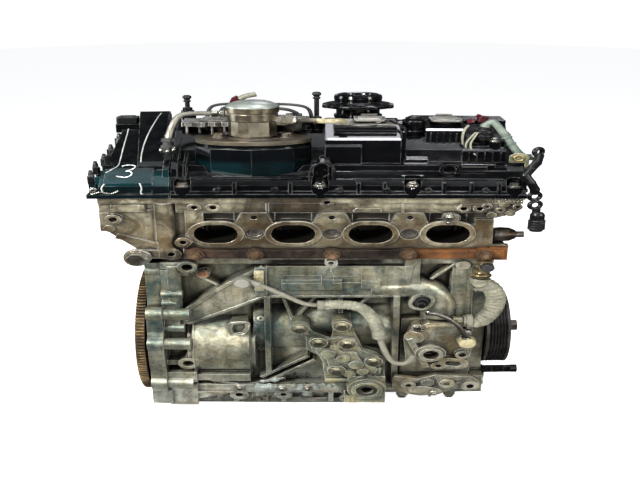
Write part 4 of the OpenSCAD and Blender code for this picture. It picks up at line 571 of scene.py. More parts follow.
VENT = [(180.6, -36, 457.4), (181.4, -36, 463), (190, -38, 467), (202, -43, 446), (212, -49, 424), (222, -55, 406), (232, -60, 402), (236, -61, 403)]
bm = bmesh.new()
def vent_r(s, total):
    u = s / total
    return 0.0056 + (0.0016 if 0.46 < u < 0.50 or 0.60 < u < 0.63 else 0.0) + (0.0010 if u > 0.97 or u < 0.04 else 0)
tube(bm, resample(catmull([P(*p) for p in VENT], 24), 0.0012), vent_r, 20)
vent = finish_mesh("vent_hose_tube", bm, "vent_green", angle=50)
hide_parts("vent_hose")

# ---------------------------------------------------------------- small detail pieces
MATS["dusty"] = cast_metal("dusty_top", (0.36, 0.36, 0.34), (0.17, 0.17, 0.165), (0.04, 0.04, 0.04), (0.24, 0.22, 0.18), metal=0.15, rough=(0.42, 0.66), seed=6.3, edge=0.8, grain=1.6)
# pale colour for the painted highlight lines along the rear cover's edges
MATS["edge_highlight_paint"] = rubber("painted_edge_highlight", (0.50, 0.51, 0.49), (0.24, 0.24, 0.23), rough=0.34, seed=12, amount=0.8)
MATS["copper"] = rusty("copper_plug", (0.07, 0.038, 0.022), (0.16, 0.085, 0.045), (0.27, 0.165, 0.095), seed=3.0)
MATS["patina"] = cast_metal("yellow_patina", (0.66, 0.60, 0.34), (0.46, 0.40, 0.20), (0.24, 0.20, 0.10), (0.60, 0.56, 0.40), metal=0.35, seed=3.3, edge=0.7)
MATS["pump_top"] = steel("pump_cap_enamel", (0.30, 0.325, 0.30), (0.22, 0.24, 0.22), rough=(0.30, 0.40), film=(0.36, 0.375, 0.34), grime_and_shade_amount=0.5, metal=0.55, seed=7)
MATS["silver"] = steel("bright_zinc", (0.46, 0.46, 0.43), (0.27, 0.265, 0.235), rough=(0.18, 0.32), film=(0.62, 0.58, 0.48), grime_and_shade_amount=0.7, seed=11)
MATS["crust"] = cast_metal("corroded_cast", (0.34, 0.39, 0.37), (0.20, 0.25, 0.245), (0.09, 0.13, 0.13), (0.36, 0.36, 0.31), metal=0.25, rough=(0.45, 0.75), seed=9.1, edge=0.6, grain=2.2)

TREES = {}


def drop(node, x, y, z, d):
    """Where a line from a point, in bank millimetres, along d first meets a node, and the normal there."""
    if node not in TREES:
        o = NODES[node]
        TREES[node] = BVHTree.FromPolygons([o.matrix_world @ v.co for v in o.data.vertices], [tuple(p.vertices) for p in o.data.polygons])
    hit, nrm, _, _ = TREES[node].ray_cast(P(x, y, z), Vector(d).normalized())
    return (hit, nrm) if hit is not None else None


def new():
    return bmesh.new()


def hexbolt(bm, x, y, z, axis, r, h, washer=0.0, recess=0.0, spin=0.3, dome=0.0):
    """Hexagon head with a washer, seated at a point in bank millimetres and facing axis."""
    M = place(P(x, y, z), axis, spin)
    h0 = 0.0
    if washer:
        lathe(bm, [(0, 0), (washer, 0), (washer, 1.0), (washer - 0.5, 1.5), (0, 1.5)], M, 28)
        h0 = 1.4
    if recess:
        prism(bm, ngon(6, r), h0, h0 + h * 0.9, M, 0.6)
        lathe(bm, [(0, h0 + h * 0.9), (r * 0.78, h0 + h * 0.9), (r * 0.74, h0 + h), (r * 0.5, h0 + h), (r * 0.46, h0 + h - recess), (0, h0 + h - recess)], M, 24)
    else:
        prism(bm, ngon(6, r), h0, h0 + h, M, 0.8)
        if dome:
            lathe(bm, [(r * 0.62, h0 + h - 0.2), (r * 0.56, h0 + h + dome * 0.6), (r * 0.3, h0 + h + dome), (0, h0 + h + dome)], M, 24)


def ring(bm, x, y, z, axis, R, r, seg=40, around=12):
    M = place(P(x, y, z), axis)
    lathe(bm, [(R + r * math.cos(2 * math.pi * k / around), r * math.sin(2 * math.pi * k / around)) for k in range(around)], M, seg, close=True)


def wire(bm, pts, r, n=10, seg=10):
    tube(bm, catmull([P(*p) for p in pts], n), r / 1000, seg)


def on_top(node, pts, lift=0.0, start=560):
    out = []
    for x, y in pts:
        got = drop(node, x, y, start, (0, 0, -1))
        if got:
            out.append(got[0] + got[1] * lift / 1000)
    return out


def on_front(node, pts, lift=0.0, start=-190):
    out = []
    for x, z in pts:
        got = drop(node, x, start, z, (0, 1, 0))
        if got:
            out.append(got[0] + got[1] * lift / 1000)
    return out


def sheet(bm, rows, thick):
    """Closed thin shell over a grid of points (metres), thickened downwards along -Z."""
    n, m_ = len(rows), len(rows[0])
    top = [[bm.verts.new(p) for p in row] for row in rows]
    low = [[bm.verts.new(p - Vector((0, 0, thick / 1000))) for p in row] for row in rows]
    for i in range(n - 1):
        for j in range(m_ - 1):
            bm.faces.new((top[i][j], top[i][j + 1], top[i + 1][j + 1], top[i + 1][j]))
            bm.faces.new((low[i][j], low[i + 1][j], low[i + 1][j + 1], low[i][j + 1]))
    rim = [(0, j) for j in range(m_)] + [(i, m_ - 1) for i in range(1, n)] + [(n - 1, j) for j in range(m_ - 2, -1, -1)] + [(i, 0) for i in range(n - 2, 0, -1)]
    for a, b in zip(rim, rim[1:] + rim[:1]):
        bm.faces.new((top[a[0]][a[1]], low[a[0]][a[1]], low[b[0]][b[1]], top[b[0]][b[1]]))


# hand-marked figure on the rear cover
def mark(x, t):
    return (-246 + (x - 225) * 0.283, -69.4 - 31.2 * (t - 540) / 85)


bm = new()
for stroke in ([(226, 552), (240, 541), (262, 539), (280, 548), (283, 562), (270, 578), (246, 588)], [(246, 588), (262, 588), (274, 598), (270, 614), (250, 624), (228, 620)], [(230, 621), (220, 619), (211, 615)]):
    pts = on_top("timing_case_cover", [mark(*q) for q in stroke], 0.25)
    tube(bm, catmull(pts, 6), lambda s, t: 0.00085 + 0.00025 * math.sin(s * 900), 8)
finish_mesh("hand_marked_figure", bm, "chalk")

# painted highlight lines: pale tubes along the rear cover's edges
bm = new()
for line in ([(-252, 62), (-252, 27), (-251.6, -18), (-251, -46), (-251, -71), (-256, -82), (-263, -90)], [(-213, 74), (-216, 52), (-221, 18), (-224, -16), (-224.5, -50), (-223, -73)]):
    tube(bm, catmull(on_top("timing_case_cover", line, 0.1), 8), 0.00095, 8)
tube(bm, catmull([P(-221, -112.4, 362), P(-219, -113, 352), P(-220, -114, 342), P(-214, -115, 337)], 8), 0.0011, 8)
tube(bm, catmull([P(-262, -112.6, 361), P(-266, -113, 352), P(-264, -114, 342)], 8), 0.0010, 8)
finish_mesh("cover_edge_highlight_lines", bm, "edge_highlight_paint")

# stepped clips and screws at the rear cover's outer edge
bm = new()
for i, (x, y, z) in enumerate([(-280, -96, 372), (-278, -70, 384), (-272, -40, 392), (-268, -8, 404), (-262, 26, 420)]):
    prism(bm, rrect(8, 12, 2), 0, 16, place(P(x, y, z - 14), (0, 0, 1), 0.2 * i), 1.2)
    lathe(bm, [(0, 0), (3.4, 0), (3.4, 6), (2.4, 7.5), (2.4, 11), (0, 12)], place(P(x, y, z + 1)), 16)
finish_mesh("rear_cover_clips", bm, "matte_black")
bm = new()
for x, z in ((-276, 350),):
    hexbolt(bm, x, -113.5, z, (0, -1, 0), 3.4, 3.4, 4.4)
wire(bm, [(-278, -116, 341), (-268, -117, 345), (-256, -116.5, 342), (-246, -116, 347)], 1.4)
finish_mesh("rear_cover_silver_screws", bm, "silver")

# pump: flats round the body, banded rim, pale cap and union nut
lo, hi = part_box("fuel_pump_body")
pump_top = hi[2] * 1000
bm = new()
M = place(P(-92, -50, 0))
prism(bm, ngon(14, 28.4, 0.1), 444, 477, M, 0.5)
lathe(bm, [(27, 476), (28.8, 477), (28.8, 479), (27.8, 480), (27.8, 481.5), (28.9, 482.5), (28.9, 485), (27, 486)], M, 56, close=True)
finish_mesh("fuel_pump_flats", bm, "pump", angle=20)
bm = new()
lathe(bm, [(27.5, pump_top - 13), (28.9, pump_top - 12.6), (28.9, pump_top - 8.4), (27.5, pump_top - 8)], M, 56, close=True)
finish_mesh("fuel_pump_band", bm, "flange")
bm = new()
lathe(bm, [(28.0, pump_top - 9), (31.4, pump_top - 8.6), (31.7, pump_top - 7.4), (31.2, pump_top - 6.2), (28.4, pump_top - 3.0), (23.5, pump_top + 0.4), (17, pump_top + 3.0), (9, pump_top + 4.6), (0, pump_top + 5.2)], M, 64)
finish_mesh("fuel_pump_cap", bm, "pump_top", angle=50)
bm = new()
hexbolt(bm, -64, -55, 473.6, (1, 0, 0), 10.5, 13, 0, 0, 0.1)
prism(bm, ngon(6, 8.0), 0, 7, place(P(-48, -56, 474), (1, 0, 0), 0.4), 0.8)
lathe(bm, [(0, 0), (7.4, 0), (7.4, 5), (5.8, 6.5), (5.8, 12), (0, 12)], place(P(-130, -43, 485), (1, 0, 0)), 24)
hexbolt(bm, -133, -43, 485, (-1, 0, 0), 7.4, 7)
finish_mesh("fuel_union_nuts", bm, "silver")
bm = new()
for s in (-1, 1):
    lathe(bm, [(0, 0), (6.6, 0), (6.6, 1.2), (4.6, 2.2), (4.6, 7.2), (2.6, 7.8), (2.2, 5.4), (0, 5.4)], place(P(-92 + s * 38, -58, 438.8)), 24)
    lathe(bm, [(0, 0), (5.2, 0), (5.2, 4.6), (4.4, 5.4), (2.4, 5.4), (2.0, 2.6), (0, 2.6)], place(P(-92 + s * 33, -32, 438.8)), 24)
finish_mesh("pump_socket_screws", bm, "dark_steel")
# boot and nut at the low end of the feed pipe
bm = new()
lathe(bm, [(0, -16), (5.4, -16), (6.4, -13), (6.4, -9), (7.6, -8), (7.6, -2), (5.6, 0), (5.6, 5), (4.2, 7), (0, 7)], place(P(-190.6, -72, 429), (0.06, 0.25, 1.0)), 24)
prism(bm, ngon(6, 8.4), 0, 7, place(P(-190, -70, 434), (0.05, 0.3, 1.0)), 0.8)
finish_mesh("feed_pipe_boot", bm, "rubber_black")
bm = new()
for dx, dz in ((-7, 0), (0, -2), (7, 1)):
    lathe(bm, [(0, 0), (2.6, 0), (2.6, 5), (1.6, 6.2), (1.6, 9), (0, 9.6)], place(P(-190 + dx, -78, 416 + dz), (0.1 * dx / 7, -0.4, 1.0)), 14)
finish_mesh("feed_pipe_clips", bm, "silver")

# dusty plates on the cover
bm = new()
rows = []
for j in range(9):
    y = -26 + j * 6.2
    row = []
    for i in range(15):
        x = -178 + i * 4.0
        edge = 2.4 * math.sin(i * 1.7) + 1.6 * math.sin(i * 0.6 + 1)
        row.append(P(x + 1.2 * math.sin(j * 1.3), y + (edge if j == 0 else 0), 464.2 + 0.7 * math.sin(i * 0.9 + j) + 0.35 * math.sin(i * 2.3 + j * 1.7)))
    rows.append(row)
sheet(bm, rows, 9)
for i in range(4):
    prism(bm, rrect(3, 18, 1), 0, 26, place(P(-172 + i * 15, -12, 432)), 0.3)
lathe(bm, [(0, 0), (3.6, 0), (3.6, 1.2), (2.4, 1.6), (0, 1.6)], place(P(-150, 6, 464.4)), 20)
for s_ in NODES["ignition_coils"].material_slots:
    s_.material = MATS["dusty"]
finish_mesh("dusty_pad_left", bm, "dusty", angle=40)
bm = new()
rows = []
for j in range(9):
    t = j / 8
    row = []
    for i in range(17):
        x = 3 + i * 4.55
        wave = 5.5 * math.sin(i * 0.62 + 0.4) + 1.5 * math.sin(i * 1.9)
        y = (-36 + wave * 0.8) * (1 - t) + 2 * t
        got = drop("head_cover", x, y, 560, (0, 0, -1))
        h = got[0] if got and 0.445 < got[0].z < 0.463 else P(x, y, 459.5)
        row.append(Vector((h.x, h.y, h.z + 0.0020 + 0.00025 * math.sin(i * 1.3 + j * 2.1))))
    rows.append(row)
sheet(bm, rows, 1.9)
lathe(bm, [(0, 0), (3.4, 0), (3.4, 1.4), (2.2, 2.2), (0, 2.2)], place(P(55, -18, 461.3)), 20)
finish_mesh("dusty_pad_centre", bm, "dusty", angle=40)

# pipes behind the pump and the clip on them
bm = new()
wire(bm, [(-152, 34, 462), (-149, 38, 480), (-140, 40, 488), (-118, 42, 490), (-70, 42, 489), (-44, 40, 487), (-30, 34, 482), (-25, 26, 470), (-25, 22, 452)], 2.6)
wire(bm, [(-136, 20, 455), (-134, 30, 476), (-126, 34, 484), (-96, 36, 482), (-60, 34, 480), (-44, 26, 474), (-38, 16, 462)], 3.2)
finish_mesh("loom_pipes", bm, "rubber_black")
bm = new()
wire(bm, [(-112, 42, 500), (-104, 42, 506), (-92, 42, 510)], 5.0, 8, 14)
finish_mesh("grey_loom_tube", bm, "conduit_grey")
bm = new()
prism(bm, [(-9, 0), (9, 0), (6, 12), (1, 19), (-5, 14)], -5, 5, place(P(-117, 42, 488), (0, -1, 0)), 1.2)
prism(bm, rrect(9, 12, 2), 0, 12, place(P(175, -34, 468), (0.3, 0, 1.0), 0.3), 1.2)
prism(bm, rrect(15, 5, 1.5), 0, 6, place(P(172, -36, 476), (0.5, 0, 1.0), 0.3), 1.0)
prism(bm, rrect(4, 9, 1), 0, 8, place(P(163, -38, 466), (-0.2, 0, 1.0), 0.3), 0.8)
finish_mesh("maroon_clips", bm, "maroon")

# right half of the cover
bm = new()
ring(bm, 97, -22, 467, (0, 0, 1), 13.6, 1.5)
ring(bm, 97, -22, 447, (0, 0, 1), 13.9, 1.2)
ring(bm, 97, -22, 441, (0, 0, 1), 12.0, 1.3)
lathe(bm, [(0, 0), (7.5, 0), (7.5, 2), (6, 3), (3, 3), (2.6, 1.4), (0, 1.4)], place(P(97, -22, 472.8)), 28)
for i in range(6):
    prism(bm, rrect(2.4, 3.4, 0.8), 400, 446, place(P(116 + i * 7.6, -42.6, 0)), 0.6)
ring(bm, 178, -36, 441, (0.1, 0, 1), 12.6, 1.4)
ring(bm, 178.6, -36, 449, (0.1, 0, 1), 12.4, 1.2)
for i in range(5):
    prism(bm, rrect(2.2, 4, 0.8), 378, 412, place(P(160 + i * 9.4, -64.4, 0)), 0.6)
wire(bm, [(78, -62, 430), (82, -64, 448), (84, -60, 456), (82, -40, 459), (70, -8, 463)], 1.8)
wire(bm, [(-26, -106, 352), (-26, -106.5, 378), (-22, -107, 394), (-11, -107.6, 400), (0, -107, 394), (3, -106.5, 378), (3, -106, 352)], 1.6)
for x in (-132, -66, 8, 62, 110, 176):
    lathe(bm, [(0, 0), (5.2, 0), (5.2, 5), (4.2, 6.4), (2.2, 6.4), (1.8, 3), (0, 3)], place(P(x, -111.4, 348), (0, -1, 0)), 20)
for x0, x1 in ((-176, -36), (24, 196)):
    wire(bm, [(x0, -105.4, 368), ((x0 + x1) / 2, -105.4, 368), (x1, -105.4, 368)], 1.3)
finish_mesh("cover_fins_and_rings", bm, "head_cover")
bm = new()
wire(bm, [(169, -44, 448), (163, -50, 440), (158, -54, 430), (157, -56, 418), (160, -60, 408)], 1.7)
wire(bm, [(171, -46, 448), (166, -52, 438), (162, -57, 428), (163, -60, 416), (168, -64.6, 406)], 1.5)
wire(bm, [(160, -40, 462), (155, -44, 452), (153, -47, 438), (154, -50, 424)], 1.8)
wire(bm, [(-196, -40, 440), (-192, -58, 446), (-188, -66, 438)], 1.6)
finish_mesh("thin_grey_wires", bm, "conduit_grey")
bm = new()
lathe(bm, [(0, 0), (5.8, 0), (5.8, 3), (4.8, 4.2), (0, 4.2)], place(P(189, -58, 431)), 24)
prism(bm, ngon(6, 4.2), 4, 9, place(P(189, -58, 431)), 0.6)
for x in (92, -14):
    hexbolt(bm, x, -110.6 if x == 92 else -111, 357, (0, -0.3, 1.0), 5.2, 5, 6.6)
    lathe(bm, [(0, 0), (2.6, 0), (2.6, 12), (0, 12)], place(P(x, -115.4, 341), (0, 0, 1)), 14)
    ring(bm, x, -115.2, 352, (0, 0, 1), 3.4, 0.9, 24, 8)
hexbolt(bm, 135, -111.2, 293, (0, -1, 0), 6.6, 8, 8.4, 0, 0.2, 1.4)
lathe(bm, [(0, 0), (2.8, 0), (2.8, 5), (0, 6)], place(P(135, -111, 281), (0, -1, 0)), 14)
finish_mesh("bright_cover_screws", bm, "silver")

# head: bead rows and plugs between the ports; points along a seam line are found but not drawn
bm = new()
for r_, z in ((0, 329.0), (1, 324.4)):
    for i in range(9):
        got = drop("cylinder_head", 184 + i * 4.3 + 1.2 * r_, -180, z, (0, 1, 0))
        if not got:
            continue
        h, nrm = got
        lathe(bm, [(1.7, -0.8), (1.6, 0.4), (1.0, 1.3), (0, 1.6)], place(h, nrm), 10)
pts = on_front("cylinder_head", [(-176 + i * 8, 331) for i in range(48)], 0.1)
finish_mesh("head_beads", bm, "silver")
bm = new()
for x in (-91, 0, 91):
    got = drop("core_plugs", x + 2, -180, 257, (0, 1, 0))
    if not got:
        continue
    y = got[0].y * 1000
    ring(bm, x, y - 0.4, 257, (0, -1, 0), 9.4, 1.5)
    ring(bm, x, y - 0.4, 257, (0, -1, 0), 6.6, 0.7)
finish_mesh("plug_faces", bm, "dark_steel")
bm = new()
for x in (-91, 0, 91):
    got = drop("core_plugs", x + 2, -180, 257, (0, 1, 0))
    if not got:
        continue
    y = got[0].y * 1000
    lathe(bm, [(0, -0.6), (2.6, -0.6), (5.8, 0.9), (6.4, 0.9), (6.4, -1)], place(P(x, y, 257), (0, -1, 0)), 6 if x < 90 else 24)
finish_mesh("plug_sockets", bm, "rubber_black", angle=50)
# wire clip under the middle rail nut
bm = new()
wire(bm, [(-6.5, -121.5, 209), (-7, -123, 201), (-5, -124, 194.5), (0, -124.4, 192), (5, -124, 195.5), (5.5, -123, 202), (4.5, -122.5, 207)], 1.7)
ring(bm, -1, -123.4, 200, (0, -1, 0), 4.6, 1.5)
wire(bm, [(-1, -124, 191), (-0.6, -124.4, 186), (-1, -124, 182)], 1.3)
finish_mesh("rail_wire_clip", bm, "white")

# block: coloured plug, tag pad, bolts and pipe details
bm = new()
lathe(bm, [(0, 0), (7.4, 0), (7.4, 1.6), (6.2, 2.6), (4.4, 2.6), (4.0, 1.2), (0, 1.2)], place(P(-155, -102, 167), (0, -1, 0)), 28)
finish_mesh("copper_plug", bm, "copper")
bm = new()
prism(bm, rrect(12, 44, 2.4), 0, 1.8, place(P(-87, -109.9, 157), (0, -1, 0)), 0.7)
for i in range(5):
    prism(bm, rrect(7, 4, 1), 1.6, 2.6, place(P(-87, -109.9, 141 + i * 8), (0, -1, 0)), 0.4)
finish_mesh("tag_pad", bm, "patina")
bm = new()
for x, z, w, h_ in ((-35, 158, 46, 16), (19, 158, 34, 14)):
    for s in (-1, 1):
        for p0, p1 in (((x - w / 2, z + s * h_ / 2), (x + w / 2, z + s * h_ / 2)), ((x + s * w / 2, z - h_ / 2), (x + s * w / 2, z + h_ / 2))):
            n_ = 8
            tube(bm, on_front("engine_block", [(p0[0] + (p1[0] - p0[0]) * k / n_, p0[1] + (p1[1] - p0[1]) * k / n_) for k in range(n_ + 1)], 0.1), 0.0008, 6)
# raised bead round the barrel pocket and a seam down the barrel
pk = [(-122, 40), (-106, 44), (-100, 58), (-102, 70), (-122, 68), (-126, 54), (-122, 40)]
tube(bm, catmull(on_front("engine_block", pk, 0.2), 6), 0.0013, 8)
for x in (-171.0, -101.5):
    tube(bm, on_front("engine_block", [(x + 0.8, z) for z in range(-70, 66, 4)], 0.2), 0.0012, 8)
for x, z in ((-87, -8), (-86, 66)):
    got = drop("engine_block", x, -190, z, (0, 1, 0))
    if not got:
        continue
    h, nrm = got
    lathe(bm, [(7, -2), (6.4, 3), (4.8, 4.4), (2.4, 4.4), (2.0, 2.0), (0, 2.0)], place(h, nrm), 20)
finish_mesh("block_beads", bm, "engine_block")

# pipe into the pale plug, banjo and clamp
bm = new()
wire(bm, [(118, -128, 92), (126, -133, 92), (140, -136, 83), (151, -138, 70), (158, -139, 54), (161, -139, 42), (163, -138, 34)], 3.4, 10, 14)
finish_mesh("vacuum_pipe", bm, "dark_steel")
bm = new()
ring(bm, 163, -137, 39, (0.1, 0, 1), 4.6, 1.4)
lathe(bm, [(0, 0), (6.4, 0), (6.4, 3), (5, 4), (0, 4)], place(P(116, -126, 92), (0.6, -0.4, 0.2)), 22)
hexbolt(bm, 104, -126, 58, (0, -1, 0), 5.4, 4, 6.6)
hexbolt(bm, 165, -128.4, 28 + 18, (0, -1, 0), 4.6, 4, 5.8)
finish_mesh("vacuum_pipe_fittings", bm, "silver")
bm = new()
M = place(P(165, -128.5, 28), (0, -1, 0))
lathe(bm, [(9.2, 11), (10.6, 11.8), (10.6, 13), (9.0, 14.2), (5.2, 14.6), (4.8, 13.9), (0, 14.1)], M, 36)
finish_mesh("vacuum_plug_face", bm, "cream")

# hose clamps and sleeves
bm = new()
for p, ax in (((186, -114, 147.0), (0.55, 0, -0.8)), ((168, -115.6, 68), (1, 0, 0))):
    M = place(P(*p), ax)
    lathe(bm, [(12.6, -4), (13.8, -3.6), (13.8, 3.6), (12.6, 4)], M, 40, close=True)
    prism(bm, rrect(7, 6, 1), 12.4, 17.4, M @ Matrix.Rotation(math.radians(90), 4, "X"), 0.6)
for p, ax in (((-12.4, -134, 113), (1, 0, 0.05)), ((58.2, -136.7, 44), (0.1, 0, -1.0))):
    M = place(P(*p), ax)
    lathe(bm, [(7.4, -5), (9.6, -4.2), (9.6, 2.6), (8.8, 4), (7.4, 4)], M, 32, close=True)
finish_mesh("hose_clamps", bm, "cable")
bm = new()
for x, z in ((-93.6 - 12.4, 158),):
    lathe(bm, [(0, 19), (7.2, 19), (8.6, 18), (9.4, 19.4), (7.8, 21.2), (0, 21.6)], place(P(x, -110.3, z), (0, -1, 0)), 32)
wire(bm, [(-98, -122, 160), (-93, -122.6, 157), (-86, -123.6, 153)], 5.0, 8, 14)
finish_mesh("sensor_plug_face", bm, "white")

# corroded crust and small bosses on the lower flange
bm = new()
rnd = random.Random(5)
for k in range(44):
    x = -100 + rnd.random() * 100
    z = -92 + rnd.random() * 22
    got = drop("engine_block", x, -190, z, (0, 1, 0))
    if not got:
        continue
    h, nrm = got
    r0 = 2.6 + rnd.random() * 4.6
    M = place(h, nrm, rnd.random() * 6)
    prism(bm, [(r0 * (0.75 + 0.4 * rnd.random()) * math.cos(a * 0.785), r0 * (0.6 + 0.4 * rnd.random()) * math.sin(a * 0.785)) for a in range(8)], -2.0, 0.35 + 0.5 * rnd.random(), M, 0.4)
finish_mesh("corrosion_crust", bm, "crust", angle=50)
bm = new()
for x, z, r_ in ((-115, -92, 6.2), (-62, -96, 5.6), (-30, -98, 5.2), (96, -76, 6.0), (143, -70, 6.0), (128, -96, 4.6)):
    node = "side_arm" if x > 80 else "engine_block"
    got = drop(node, x, -190, z if node == "side_arm" else max(z, -93), (0, 1, 0))
    if not got:
        continue
    h = got[0]
    q = ((h.x * 1000 - 240), h.y * 1000, h.z * 1000)
    hexbolt(bm, q[0], q[1] + 0.4, q[2], (0, -1, 0), r_ * 0.8, 4.2, r_ * 1.15, 0, x * 0.1, 1.0)
for x, y, z, l in ((-98, -112, -112, 12), (-88, -112, -112, 12), (-78, -112, -112, 12), (124, -122, -101, 9)):
    lathe(bm, [(0, 0), (2.2, 0), (2.2, l), (1.4, l + 1), (0, l + 1)], place(P(x, y, z), (0, 0, -1)), 12)
finish_mesh("lower_bolts", bm, "steel")

# bracket: lugs and rings of the bush
bm = new()
for x, z, r_ in ((-30, 50, 4), (46, -44, 5), (58, -30, 4), (24, 60, 4)):
    got = drop("support_bracket", x, -190, z, (0, 1, 0))
    if not got:
        continue
    h, nrm = got
    lathe(bm, [(r_, -2), (r_ * 0.95, 1.8), (r_ * 0.6, 3.2), (r_ * 0.3, 3.2), (r_ * 0.26, 1.6), (0, 1.6)], place(h, nrm), 22)
finish_mesh("bracket_lugs", bm, "support_bracket", angle=60)
bm = new()
M = place(P(43, -161, -70), (0, -1, 0))
lathe(bm, [(14.6, -1), (18.6, -1), (19.2, 0.6), (18.6, 2.0), (14.6, 2.0)], M, 48, close=True)
lathe(bm, [(7.4, -1), (9.6, -1), (9.8, 1.8), (7.4, 1.8)], M, 40, close=True)
finish_mesh("bush_rings", bm, "dark_steel")

# far side: core plugs, flange studs and boss rims
bm = new()
for x in (-136.5, -45.5, 45.5, 136.5):
    got = drop("engine_block", x, 190, 102, (0, -1, 0))
    if got:
        lathe(bm, [(0, 0.6), (11.0, 0.6), (12.4, 2.2), (14.4, 2.5), (15.4, 1.6), (15.6, -1)], place(*got), 40)
for y, z in ((-44, 262), (46, 262)):
    got = drop("cylinder_head", 260, y, z, (-1, 0, 0))
    if got:
        lathe(bm, [(0, 0.6), (12.0, 0.6), (13.6, 2.4), (16.0, 2.7), (17.2, 1.6), (17.4, -1)], place(*got), 44)
finish_mesh("core_plug_cups", bm, "plug")
bm = new()
for x, z in ((-166, 282), (-91, 284), (0, 284), (91, 284), (170, 282), (-91, 240), (0, 240), (91, 240)):
    got = drop("cylinder_head", x, 190, z, (0, -1, 0))
    if got:
        lathe(bm, [(6.4, -1), (6.4, 1.0), (5.6, 1.6), (3.7, 1.7), (3.7, 17), (3.1, 18.2), (0, 18.4)], place(*got), 20)
for y, z in ((-86, 222), (-20, 222), (46, 222), (88, 222), (-70, 318), (0, 318), (70, 318), (90, 270)):
    got = drop("cylinder_head", 260, y, z, (-1, 0, 0))
    if got:
        h = got[0]
        hexbolt(bm, h.x * 1000 - 240, h.y * 1000, h.z * 1000, (1, 0, 0), 5.6, 4.6, 7.8, 0, y * 0.07, 1.0)
for y, z in ((-30, 150), (40, 150), (84, 128), (84, 40), (84, -48), (-52, 100), (30, -94), (-30, -94)):
    got = drop("engine_block", 260, y, z, (-1, 0, 0))
    if got:
        h = got[0]
        hexbolt(bm, h.x * 1000 - 240, h.y * 1000, h.z * 1000, (1, 0, 0), 5.6, 4.6, 7.8, 0, y * 0.05, 1.0)
for x, z in ((-150, 40), (10, 40), (60, 64), (120, 40), (160, 90), (60, -34), (120, -60)):
    got = drop("engine_block", x, 190, z, (0, -1, 0))
    if got:
        h = got[0]
        hexbolt(bm, h.x * 1000 - 240, h.y * 1000, h.z * 1000, (0, 1, 0), 5.6, 4.6, 7.8, 0, x * 0.05, 1.0)
finish_mesh("far_side_studs", bm, "dark_steel")
bm = new()
for y0, z0, y1, z1 in ((-78, 112, 78, 112), (-60, 66, -60, 160), (60, 66, 60, 160), (-20, 84, -20, 160), (24, 84, 24, 160)):
    pts = []
    for k in range(15):
        got = drop("engine_block", 260, y0 + (y1 - y0) * k / 14, z0 + (z1 - z0) * k / 14, (-1, 0, 0))
        if got and abs(got[1].x) > 0.9 and (not pts or abs(got[0].x - pts[-1].x) < 0.0015):
            pts.append(got[0])
    if len(pts) > 3:
        tube(bm, pts, 0.0030, 10)
for x0, z0, x1, z1 in ((-170, 20, 168, 20), (-170, -56, 168, -56), (-170, 152, 168, 152)):
    run = []
    for k in range(60):
        got = drop("engine_block", x0 + (x1 - x0) * k / 59, 190, z0 + (z1 - z0) * k / 59, (0, -1, 0))
        ok = got and abs(got[1].y) > 0.9 and (not run or abs(got[0].y - run[-1].y) < 0.0015)
        if ok:
            run.append(got[0])
        if (not ok or k == 59):
            if len(run) > 3:
                tube(bm, run, 0.0022, 10)
            run = [got[0]] if got and abs(got[1].y) > 0.9 and not ok else []
finish_mesh("casting_ribs", bm, "engine_block")

# black union and small fittings under the rail's end
bm = new()
lathe(bm, [(0, 0), (7.6, 0), (8.6, 2), (8.6, 9), (7.4, 11), (0, 11.6)], place(P(184, -118, 190), (0, -1, 0)), 28)
finish_mesh("black_union_cap", bm, "rubber_black")
bm = new()
ring(bm, 218, -71.4, 402, (0, -1, 0), 5.6, 1.5)
finish_mesh("eye_ring", bm, "brass")

# ---------------------------------------------------------------- floor, light
bpy.context.scene.view_settings.view_transform = "Standard"
bpy.context.scene.view_settings.look = "Medium High Contrast"
floor_z = CAD_BOX[0][2] - 0.0002
bm = bmesh.new()
lathe(bm, [(0, 0), (600, 0), (2500, 0), (9000, 0)], Matrix.Translation((0.24, 0, floor_z)), 64)
me = bpy.data.meshes.new("floor")
bm.to_mesh(me)
bm.free()
floor = bpy.data.objects.new("floor", me)
bpy.context.scene.collection.objects.link(floor)
m = Mat("floor")
MATS["floor"] = m.set(color=m.ramp(m.noise(3, 2), [(0.3, (0.84, 0.84, 0.84)), (0.7, (0.87, 0.87, 0.87))]), rough=0.7, spec=0.2)
m.b.inputs["Emission Color"].default_value = (1, 1, 1, 1)
m.b.inputs["Emission Strength"].default_value = 0.74
me.materials.append(MATS["floor"])
floor.visible_glossy = False

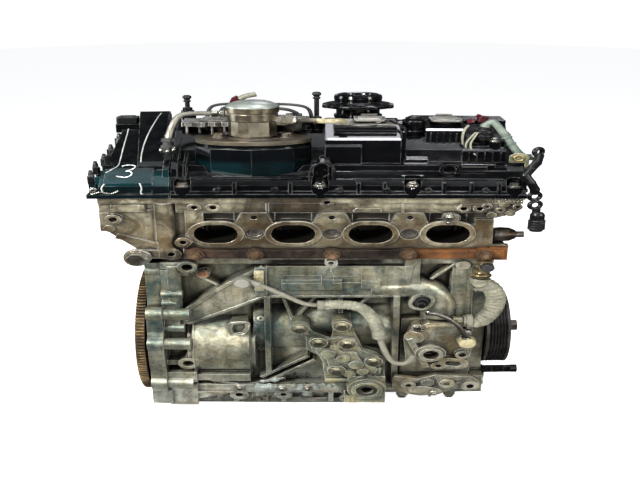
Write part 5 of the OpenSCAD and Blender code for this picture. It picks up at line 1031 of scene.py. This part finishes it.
world = bpy.data.worlds.new("studio")
bpy.context.scene.world = world
world.use_nodes = True
wt = world.node_tree
bg = wt.nodes["Background"]
tc = wt.nodes.new("ShaderNodeTexCoord")
sep = wt.nodes.new("ShaderNodeSeparateXYZ")
wt.links.new(tc.outputs["Generated"], sep.inputs[0])
wr = wt.nodes.new("ShaderNodeValToRGB")
mr = wt.nodes.new("ShaderNodeMapRange")
mr.inputs["From Min"].default_value, mr.inputs["From Max"].default_value = -1.0, 1.0
wt.links.new(sep.outputs[2], mr.inputs[0])
wt.links.new(mr.outputs[0], wr.inputs[0])
els = wr.color_ramp.elements
els[0].position, els[0].color = 0.0, (0.035, 0.035, 0.033, 1)
els[1].position, els[1].color = 1.0, (0.06, 0.066, 0.075, 1)
e = els.new(0.5)
e.color = (0.07, 0.075, 0.08, 1)
bg2 = wt.nodes.new("ShaderNodeBackground")
bg2.inputs[0].default_value = (0.97, 0.97, 0.97, 1)
lp = wt.nodes.new("ShaderNodeLightPath")
mx = wt.nodes.new("ShaderNodeMixShader")
wt.links.new(wr.outputs[0], bg.inputs[0])
wt.links.new(lp.outputs["Is Camera Ray"], mx.inputs[0])
wt.links.new(bg.outputs[0], mx.inputs[1])
wt.links.new(bg2.outputs[0], mx.inputs[2])
wt.links.new(mx.outputs[0], wt.nodes["World Output"].inputs[0])


def area(name, loc, to, size, power, color=(1, 1, 1), size_y=None):
    l = bpy.data.lights.new(name, "AREA")
    l.energy, l.size, l.color = power, size, color
    if size_y:
        l.shape, l.size_y = "RECTANGLE", size_y
    o = bpy.data.objects.new(name, l)
    bpy.context.scene.collection.objects.link(o)
    o.location = loc
    o.rotation_euler = (Vector(to) - Vector(loc)).to_track_quat("-Z", "Y").to_euler()
    return o


area("key", (-0.75, -1.15, 1.05), (0.24, 0, 0.2), 0.45, 40, (1.0, 0.99, 0.96))
area("front", (0.50, -1.70, 0.55), (0.24, 0, 0.15), 0.8, 7, (1.0, 0.98, 0.94), 0.5)
area("top", (0.22, -0.30, 1.60), (0.24, 0, 0.3), 1.8, 7, (0.93, 0.98, 1.0), 1.1)
area("strip", (0.40, -0.24, 1.50), (0.36, -0.10, 0.4), 0.34, 5.0, (0.95, 0.95, 1.0), 0.12)
area("right", (1.45, -0.75, 0.75), (0.24, 0, 0.15), 0.35, 11, (1.0, 0.97, 0.92), 0.9)
area("left", (-1.20, 0.1, 0.55), (0.24, 0, 0.15), 0.4, 9, (0.94, 0.98, 1.0), 0.9)
area("window_a", (-0.22, 1.6, 0.98), (0.10, 0, 0.42), 0.10, 0.15, (0.93, 0.95, 1.0), 0.30)
area("window_b", (0.66, 1.6, 0.93), (0.40, 0, 0.42), 0.16, 0.35, (0.94, 0.94, 1.0), 0.22)
area("back_high", (0.42, 0.95, 1.6), (0.24, 0, 0.25), 0.5, 3.5, (0.94, 0.92, 1.0), 0.5)
